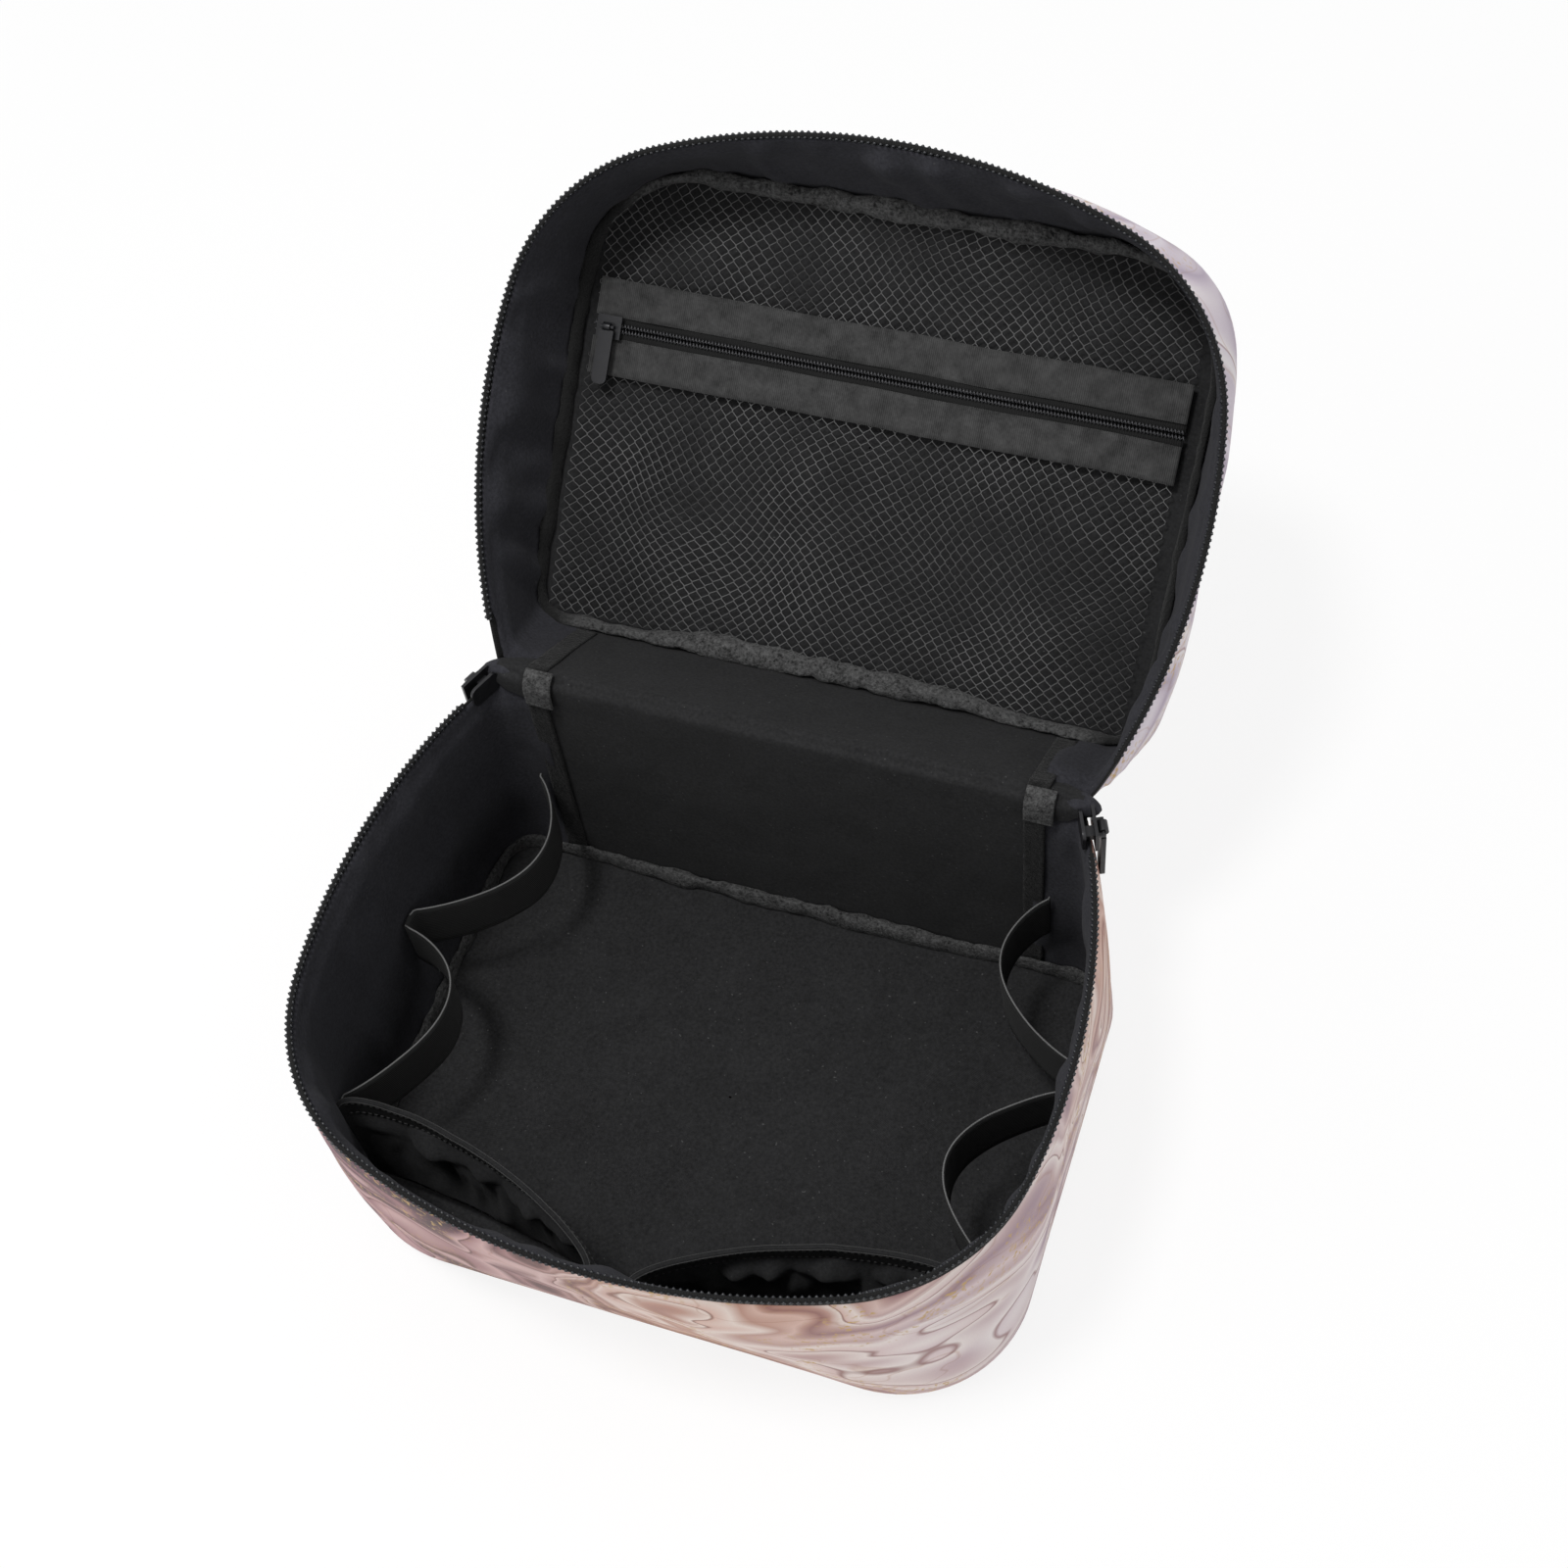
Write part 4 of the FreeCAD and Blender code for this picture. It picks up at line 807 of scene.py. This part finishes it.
for part, way, offset in (("base", 1, 0.5), ("lid", -1, 1.0)):
    dress(zipper_tape(part, way), part, "zipper_tape", f"{part}_zipper_tape")
    coil = tube_object(f"{part}_coil", [placed(part, coil_line(offset, way))], COIL_WIRE, COIL, 6)
    dress(coil, part, "zipper_coil", f"{part}_zipper_teeth")
    core = placed(part, at_height(mouth_path(500), RIM_Z - way * CORD_DROP))
    dress(tube_object(f"{part}_coil_cord", [core], CORD_RADIUS, TAPE, 8), part, "zipper_coil")
    beads = stitch_beads(part, RIM_Z - way * BEAD_DROP)
    dress(tube_object(f"{part}_coil_threads", beads, BEAD_RADIUS, COIL, 5), part, "zipper_coil")

for name in ("left_main_slider", "right_main_slider", "net_slider",
             "left_main_pull", "right_main_pull", "net_pull"):
    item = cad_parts[name]
    item.data.materials.clear()
    item.data.materials.append(METAL)
    assign(item.modifiers.new("weld", "WELD"), merge_threshold=0.00002)
    assign(item.modifiers.new("rounding", "BEVEL"), width=0.00035, segments=3, limit_method="ANGLE",
           angle_limit=math.radians(40.0))


# Elastic loops

LOOP_LOW, LOOP_HIGH = 37.0, 60.0


def on_wall(axis, value, z, inset):
    """The other coordinate of the base's side (axis 1) or front (axis 0) where this one has a value."""
    half = half_ring("base", inset, z)[(STEPS if axis else 3 * STEPS):]
    half = half[np.argsort(half[:, axis])]
    return np.interp(value, half[:, axis], half[:, 1 - axis])


def side_end(y):
    return np.array([on_wall(1, y, LOOP_LOW, 5.0), y])


def loop_points(sign, first, last_y, bulge, peak, seed):
    """Strip bowed between two stitched ends, furthest out at a share of its length."""
    chord = side_end(last_y) - first
    inward = np.array([chord[1], -chord[0]]) / np.hypot(*chord)
    s = np.linspace(0.0, 1.0, 70)
    skew = s ** (math.log(0.5) / math.log(peak))
    bow = bulge * np.sin(math.pi * np.clip((skew - 0.03) / 0.94, 0, 1)) ** 0.85
    points = []
    for share in np.linspace(0.0, 1.0, 9):
        path = first + s[:, None] * chord + inward * (bow * (0.95 + 0.05 * share))[:, None]
        row = at_height(path * (sign, 1.0), LOOP_LOW + (LOOP_HIGH - LOOP_LOW) * share)
        row[:, 2] += np.sin(math.pi * s) * (share - 0.5) + wobble(row, 18.0, 0.4, seed)
        points.append(row)
    points = np.stack(points)
    return push(points, wobble(points, 16.0, 0.4, seed + 1) * np.sin(math.pi * s))


REAR_END = np.array([94.0, 79.0])
# First end, y of the last end, bulge and place of the peak of each loop
LOOPS = {"left": ((REAR_END, 12.0, 22.0, 0.42), (side_end(8.0), -60.0, 24.0, 0.38)),
         "right": ((REAR_END, 20.0, 19.0, 0.42), (side_end(13.0), -56.0, 27.0, 0.52))}
for side, sign in SIDES:
    strips = [loop_points(sign, *loop, 30.0 + number + sign) for number, loop in enumerate(LOOPS[side])]
    loops = thicken(grid_object(f"{side}_loops", np.concatenate(strips, axis=1), ELASTIC), 0.9)
    dress(loops, "base", "elastic", f"{side}_elastic_loops")
    # Thin light tubes along the loops' top edges: painted highlight.
    edges = [strip[-1] + (0.0, 0.0, 0.05) for strip in strips]
    dress(tube_object(f"{side}_loop_edges", edges, 0.3, LOOP_EDGE_HIGHLIGHT, 6), "base", "elastic")


# Gathered pockets on the front wall

POCKET_LOW, POCKET_TOP, HEM_TOP, TUCK_Z = 14.6, 60.0, 69.2, 52.0
POCKET_ENDS_X = (7.0, 107.0)
POCKET_INSET = 5.4
HEM_FACE = 0.85


def pocket_rows(sign, heights, bulges, ripples, seed):
    """Rows of a pocket's cloth: bulged from the wall, gathered, and tucked in below its hem."""
    s = np.linspace(0.0, 1.0, 170)
    hold = np.sin(math.pi * s) ** 0.4
    points = []
    for z, bulge, ripple in zip(heights, bulges, ripples):
        start, end = (np.array([sign * x, on_wall(0, x, z, POCKET_INSET)]) for x in POCKET_ENDS_X)
        row = at_height(start + s[:, None] * (end - start), z)
        row[:, 1] += bulge * np.sin(math.pi * s) ** 0.5
        gather = np.array([noise.noise(Vector((v * 8.0, z / 42.0 + seed, seed))) for v in s])
        crease = np.array([noise.noise(Vector((v * 17.0, z / 16.0 + seed, seed + 5.0))) for v in s])
        row[:, 1] += hold * ripple * (gather + 0.5 * crease)
        tuck = math.exp(-((z - TUCK_Z) / 6.0) ** 2) if z < POCKET_TOP else 0.0
        row[:, 1] -= hold * 7.0 * tuck * np.maximum(0.0, 0.35 + gather + 0.6 * crease)
        points.append(row)
    return np.stack(points)


for side, sign in SIDES:
    seed = 40.0 + sign
    heights = np.linspace(POCKET_LOW, POCKET_TOP + 0.6, 30)
    rise = (heights - POCKET_LOW) / (POCKET_TOP - POCKET_LOW)
    ripples = 0.25 + 3.2 * np.maximum(0.0, np.sin(math.pi * rise)) ** 0.7
    rows = pocket_rows(sign, heights, 4.0 + 9.0 * rise, ripples, seed)
    bag = thicken(grid_object(f"front_{side}_pocket_cloth", rows, POCKET), 0.6)
    dress(bag, "base", "pocket_cloth", f"front_{side}_pocket")
    heights = np.linspace(POCKET_TOP + 0.2, HEM_TOP, 9)
    hem_rows = pocket_rows(sign, heights, np.full(9, 13.0), np.full(9, 0.25), seed)
    hem = thicken(grid_object(f"front_{side}_hem", hem_rows, HEM), 1.5)
    dress(hem, "base", "elastic", f"front_{side}_pocket_hem")
    outer, inner = (push(hem_rows, face * HEM_FACE) for face in (-1, 1))
    lines = []
    for path in (outer[1], inner[1], outer[7], inner[7]):
        path = resample(path, 200)
        lines += [path[i:i + 3] for i in range(1, 196, 4)]
    stitches = tube_object(f"front_{side}_hem_stitches", lines, 0.22, THREAD, 5)
    dress(stitches, "base", "elastic")
    # Thin light tubes along the hems' top edges: painted highlight.
    edge = tube_object(f"front_{side}_hem_edge_painted_highlight", [inner[-1], outer[-1]], 0.16, HEM_HIGHLIGHT, 6)
    dress(edge, "base", "elastic")


# Net pocket in the lid

NET_Z = LID_UNDER_Z - 3.4
ZIP_Y = -33.0
NET_HALF = 104.9
NET_SPACING, NET_AMPLITUDE, NET_PERIOD = 2.15, 0.95, 4.7
NET_INSET = 7.2
NET_DRAPE = -1.6
NET_COIL_PITCH = 1.2


def inside_lid(x, y):
    """True where a point lies inside the lid panel's outline, drawn in for the net."""
    width, length, radius, back_radius, middle = PANELS["lid"]
    bend = radius if y < middle else back_radius
    dx = abs(x) - (width / 2 - bend)
    dy = abs(y - middle) - (length / 2 - bend)
    away = math.hypot(dx, dy) if dx > 0 and dy > 0 else max(dx, dy)
    return away < bend - NET_INSET


def zigzags(low, high):
    """Zigzag threads that meet in rounded diamonds, cut at the lid's outline."""
    lines = []
    for number in range(int(2 * NET_HALF / NET_SPACING) + 1):
        middle = -NET_HALF + number * NET_SPACING
        flip = 1 if number % 2 else -1
        points, y, step = [], low, 0
        while y <= high + 0.01:
            phase = step % 4
            x = middle + flip * (NET_AMPLITUDE if phase in (0, 1) else -NET_AMPLITUDE)
            if inside_lid(x, y):
                points.append((x, y))
            elif len(points) > 2:
                lines.append(points)
                points = []
            y += NET_PERIOD * (0.17 if phase in (0, 2) else 0.33)
            step += 1
        if len(points) > 2:
            lines.append(points)
    return lines


def net_lines(low, high, seed):
    """Threads of the net, which hang a little and lie unevenly."""
    lines = []
    for line in zigzags(low, high):
        points = at_height(np.array(line), NET_Z)
        hang = np.sin(math.pi * np.clip((points[:, 1] - low) / (high - low), 0, 1)) ** 0.7
        free = hang * (1 - (np.abs(points[:, 0]) / NET_HALF) ** 6)
        shift = [wobble(points, 26.0, 1.1, seed + 3 + i) + wobble(points, 42.0, 5.5, seed + 6 + i)
                 for i in range(2)]
        points[:, :2] += np.stack(shift, axis=1) * free[:, None]
        sag = wobble(points, 40.0, NET_DRAPE, seed) + wobble(points, 15.0, NET_DRAPE * 0.3, seed + 1)
        points[:, 2] += hang * (NET_DRAPE * 0.4 + sag)
        lines.append(opened(points))
    return lines


for name, low, high, seed in (("net_lower", -23.0, 69.0, 50.0), ("net_upper", -86.0, -43.0, 54.0)):
    web = tube_object(f"{name}_threads", net_lines(low, high, seed), 0.17, NET, 4)
    dress(web, "lid", "net", name)


def lid_strip(name, low, high, z, thickness, material, wrinkle, seed):
    xs = np.linspace(-NET_HALF, NET_HALF, 150)
    points = np.stack([level_row(xs, y, z) for y in np.linspace(low, high, 8)])
    puckers = wobble(points, 12.0, wrinkle, seed, (1, 0.4, 1)) + wobble(points, 45.0, wrinkle, seed + 1)
    points[..., 2] += puckers
    points[..., 1] += wobble(points, 30.0, wrinkle, seed + 2, (1, 0.1, 1))
    return thicken(grid_object(name, opened(points), material), thickness)


for name, sign in (("lower", 1), ("upper", -1)):
    middle = ZIP_Y + sign * 10.1
    ribbon = lid_strip(f"ribbon_{name}", middle - 6.5, middle + 6.5, NET_Z - 1.0, 0.6, RIBBON,
                       wrinkle=0.6, seed=60.0 + sign)
    dress(ribbon, "lid", "zipper_tape", f"net_ribbon_{name}")
    low, high = sorted((ZIP_Y + sign * 0.9, ZIP_Y + sign * 9.9))
    tape = lid_strip(f"net_tape_{name}", low, high, NET_Z - 0.2, 0.5, TAPE, wrinkle=0.15, seed=63.0 + sign)
    dress(tape, "lid", "zipper_tape", f"net_zip_tape_{name}")
    turns = int(2 * NET_HALF / NET_COIL_PITCH)
    angle = np.linspace(0.0, 2 * math.pi * turns, turns * 8 + 1)
    helix = np.stack([np.linspace(-NET_HALF, NET_HALF, len(angle)) + 0.3 * sign,
                      ZIP_Y + sign * 0.95 + 0.62 * np.cos(angle), NET_Z - 1.05 + 0.5 * np.sin(angle)], axis=1)
    coil = tube_object(f"net_coil_{name}", [opened(helix)], 0.26, NET_COIL, 4)
    dress(coil, "lid", "zipper_coil", f"net_zip_coil_{name}")


# Handle on the lid

HANDLE_HALF, HANDLE_RISE, HANDLE_WIDTH, HANDLE_THICK = 60.0, 27.0, 26.0, 3.0
HANDLE_FOOT_Z = LID_TOP_Z + 1.6
PATCH_X = 73.0
# Corners of the sewn box and its cross, in the order of sewing
STITCH_BOX = np.array([(-9, -9), (9, -9), (9, 9), (-9, 9), (-9, -9), (9, 9), (9, -9), (-9, 9)], dtype=float)


def handle_points():
    """Webbing that lies flat at both ends and bows up between them."""
    radius = (HANDLE_HALF ** 2 + HANDLE_RISE ** 2) / (2 * HANDLE_RISE)
    tilt = math.asin(HANDLE_HALF / radius) * 0.97
    middle = radius - HANDLE_THICK / 2
    foot = HANDLE_FOOT_Z + HANDLE_THICK / 2
    path = [(x, foot) for x in np.linspace(-83.0, -62.0, 12)]
    path += [(middle * math.sin(a), HANDLE_FOOT_Z + HANDLE_RISE - radius + middle * math.cos(a))
             for a in np.linspace(-tilt, tilt, 60)]
    path += [(x, foot) for x in np.linspace(62.0, 83.0, 12)]
    xs, zs = resample(np.array(path), 120).T
    points = np.stack([np.stack([xs, np.full(120, LID_MIDDLE_Y + v), zs], axis=1)
                       for v in np.linspace(-HANDLE_WIDTH / 2, HANDLE_WIDTH / 2, 9)])
    points[..., 2] += wobble(points, 30.0, 0.3, 70.0)
    return points


def handle_stitches(sign):
    lines = []
    middle = np.array([sign * PATCH_X, LID_MIDDLE_Y])
    for start, end in zip(STITCH_BOX, STITCH_BOX[1:]):
        count = int(np.hypot(*(end - start)) / 3.2)
        for step in range(count):
            shares = (step + np.array([[0.1], [0.45], [0.8]])) / count
            spots = middle + start + (end - start) * shares
            lines.append(opened(at_height(spots, HANDLE_FOOT_Z + HANDLE_THICK - 0.2)))
    return lines


strap = thicken(grid_object("webbing_handle", opened(handle_points()), WEBBING), 2.4)
dress(strap, "lid", "webbing", "handle_strap")
for side, sign in SIDES:
    xs = np.linspace(sign * PATCH_X - 16.0, sign * PATCH_X + 16.0, 16)
    ys = np.linspace(LID_MIDDLE_Y - 16.5, LID_MIDDLE_Y + 16.5, 12)
    points = np.stack([level_row(xs, y, LID_TOP_Z + 0.9) for y in ys])
    patch = thicken(grid_object(f"sewn_patch_{side}", opened(points), WEBBING), 1.2)
    dress(patch, "lid", "webbing", f"handle_patch_{side}")
    stitches = tube_object(f"handle_stitches_{side}", handle_stitches(sign), 0.3, THREAD, 5)
    dress(stitches, "lid", "webbing")


# Studio

WHITE = (1.0, 1.0, 1.0, 1.0)
PALE_SHARE = 0.84
WORLD_LIGHT = 0.62
FLOOR_REACH = 6.0
# Place, width and power of the lamps
LAMPS = (((-0.25, -0.25, 1.7), 0.32, 15.0), ((-1.2, -0.9, 1.1), 0.9, 3.0))
LAMP_AIM = Vector((0.0, 0.05, 0.08))
CAMERA_FOCAL, IMAGE_WIDTH = 2379.755, 1600.0
CAMERA_TURN = (-26.957, 57.085, -9.744)
CAMERA_PLACE = Vector((195.335, -301.669, 752.741)) * MM
scene = bpy.context.scene
scene.view_settings.view_transform = "Standard"


def seen_directly(graph):
    """1 for rays from the camera, a gloss or glass, and 0 for the light on the object."""
    rays = graph.node("LightPath").outputs
    seen = graph.plus(rays["Is Camera Ray"], rays["Is Glossy Ray"], True)
    return graph.plus(seen, rays["Is Transmission Ray"], True)


def studio_floor():
    mesh = bpy.data.meshes.new("studio_floor")
    corners = [(x * FLOOR_REACH, y * FLOOR_REACH, 0) for x, y in ((-1, -1), (1, -1), (1, 1), (-1, 1))]
    mesh.from_pydata(corners, [], [(0, 1, 2, 3)])
    ground = linked("studio_floor", mesh)
    ground.location = (0.0, 0.0, -0.0008)
    look = Look("studio_white")
    look.feed(look.shader.inputs["Roughness"], 0.9)
    look.feed(look.shader.inputs["Base Color"], grey(0.9))
    glow = look.node("Emission", {"Color": WHITE, "Strength": 1.0})
    share = look.times(seen_directly(look), PALE_SHARE)
    mixed = look.node("MixShader", {0: share, 1: look.shader.outputs[0], 2: glow.outputs[0]})
    look.feed(look.tree.nodes["Material Output"].inputs["Surface"], mixed.outputs[0])
    mesh.materials.append(look.material)


def studio_light():
    world = bpy.data.worlds.new("studio_world")
    scene.world = world
    world.use_nodes = True
    graph = Graph(world.node_tree)
    background = graph.tree.nodes["Background"]
    graph.feed(background.inputs["Color"], WHITE)
    strength = graph.plus(graph.times(seen_directly(graph), 1.0 - WORLD_LIGHT), WORLD_LIGHT)
    graph.feed(background.inputs["Strength"], strength)
    for number, (spot, width, power) in enumerate(LAMPS):
        light = bpy.data.lights.new(f"soft_light_{number}", "AREA")
        assign(light, shape="DISK", size=width, energy=power)
        turn = (LAMP_AIM - Vector(spot)).to_track_quat("-Z", "Y").to_euler()
        assign(linked(f"soft_light_{number}", light), location=spot, rotation_euler=turn)


def place_camera():
    yaw, pitch, roll = (math.radians(angle) for angle in CAMERA_TURN)
    ahead = Vector((math.sin(yaw) * math.cos(pitch), math.cos(yaw) * math.cos(pitch), -math.sin(pitch)))
    right = Vector((math.cos(yaw), -math.sin(yaw), 0.0))
    up = right.cross(ahead)
    turned = math.cos(roll) * right + math.sin(roll) * up
    above = -math.sin(roll) * right + math.cos(roll) * up
    data = bpy.data.cameras.new("camera")
    data.sensor_width = 36.0
    data.lens = CAMERA_FOCAL / IMAGE_WIDTH * data.sensor_width
    place = Matrix((turned, above, -ahead)).transposed().to_4x4()
    place.translation = CAMERA_PLACE
    scene.camera = assign(linked("camera", data), matrix_world=place)


studio_floor()
studio_light()
place_camera()
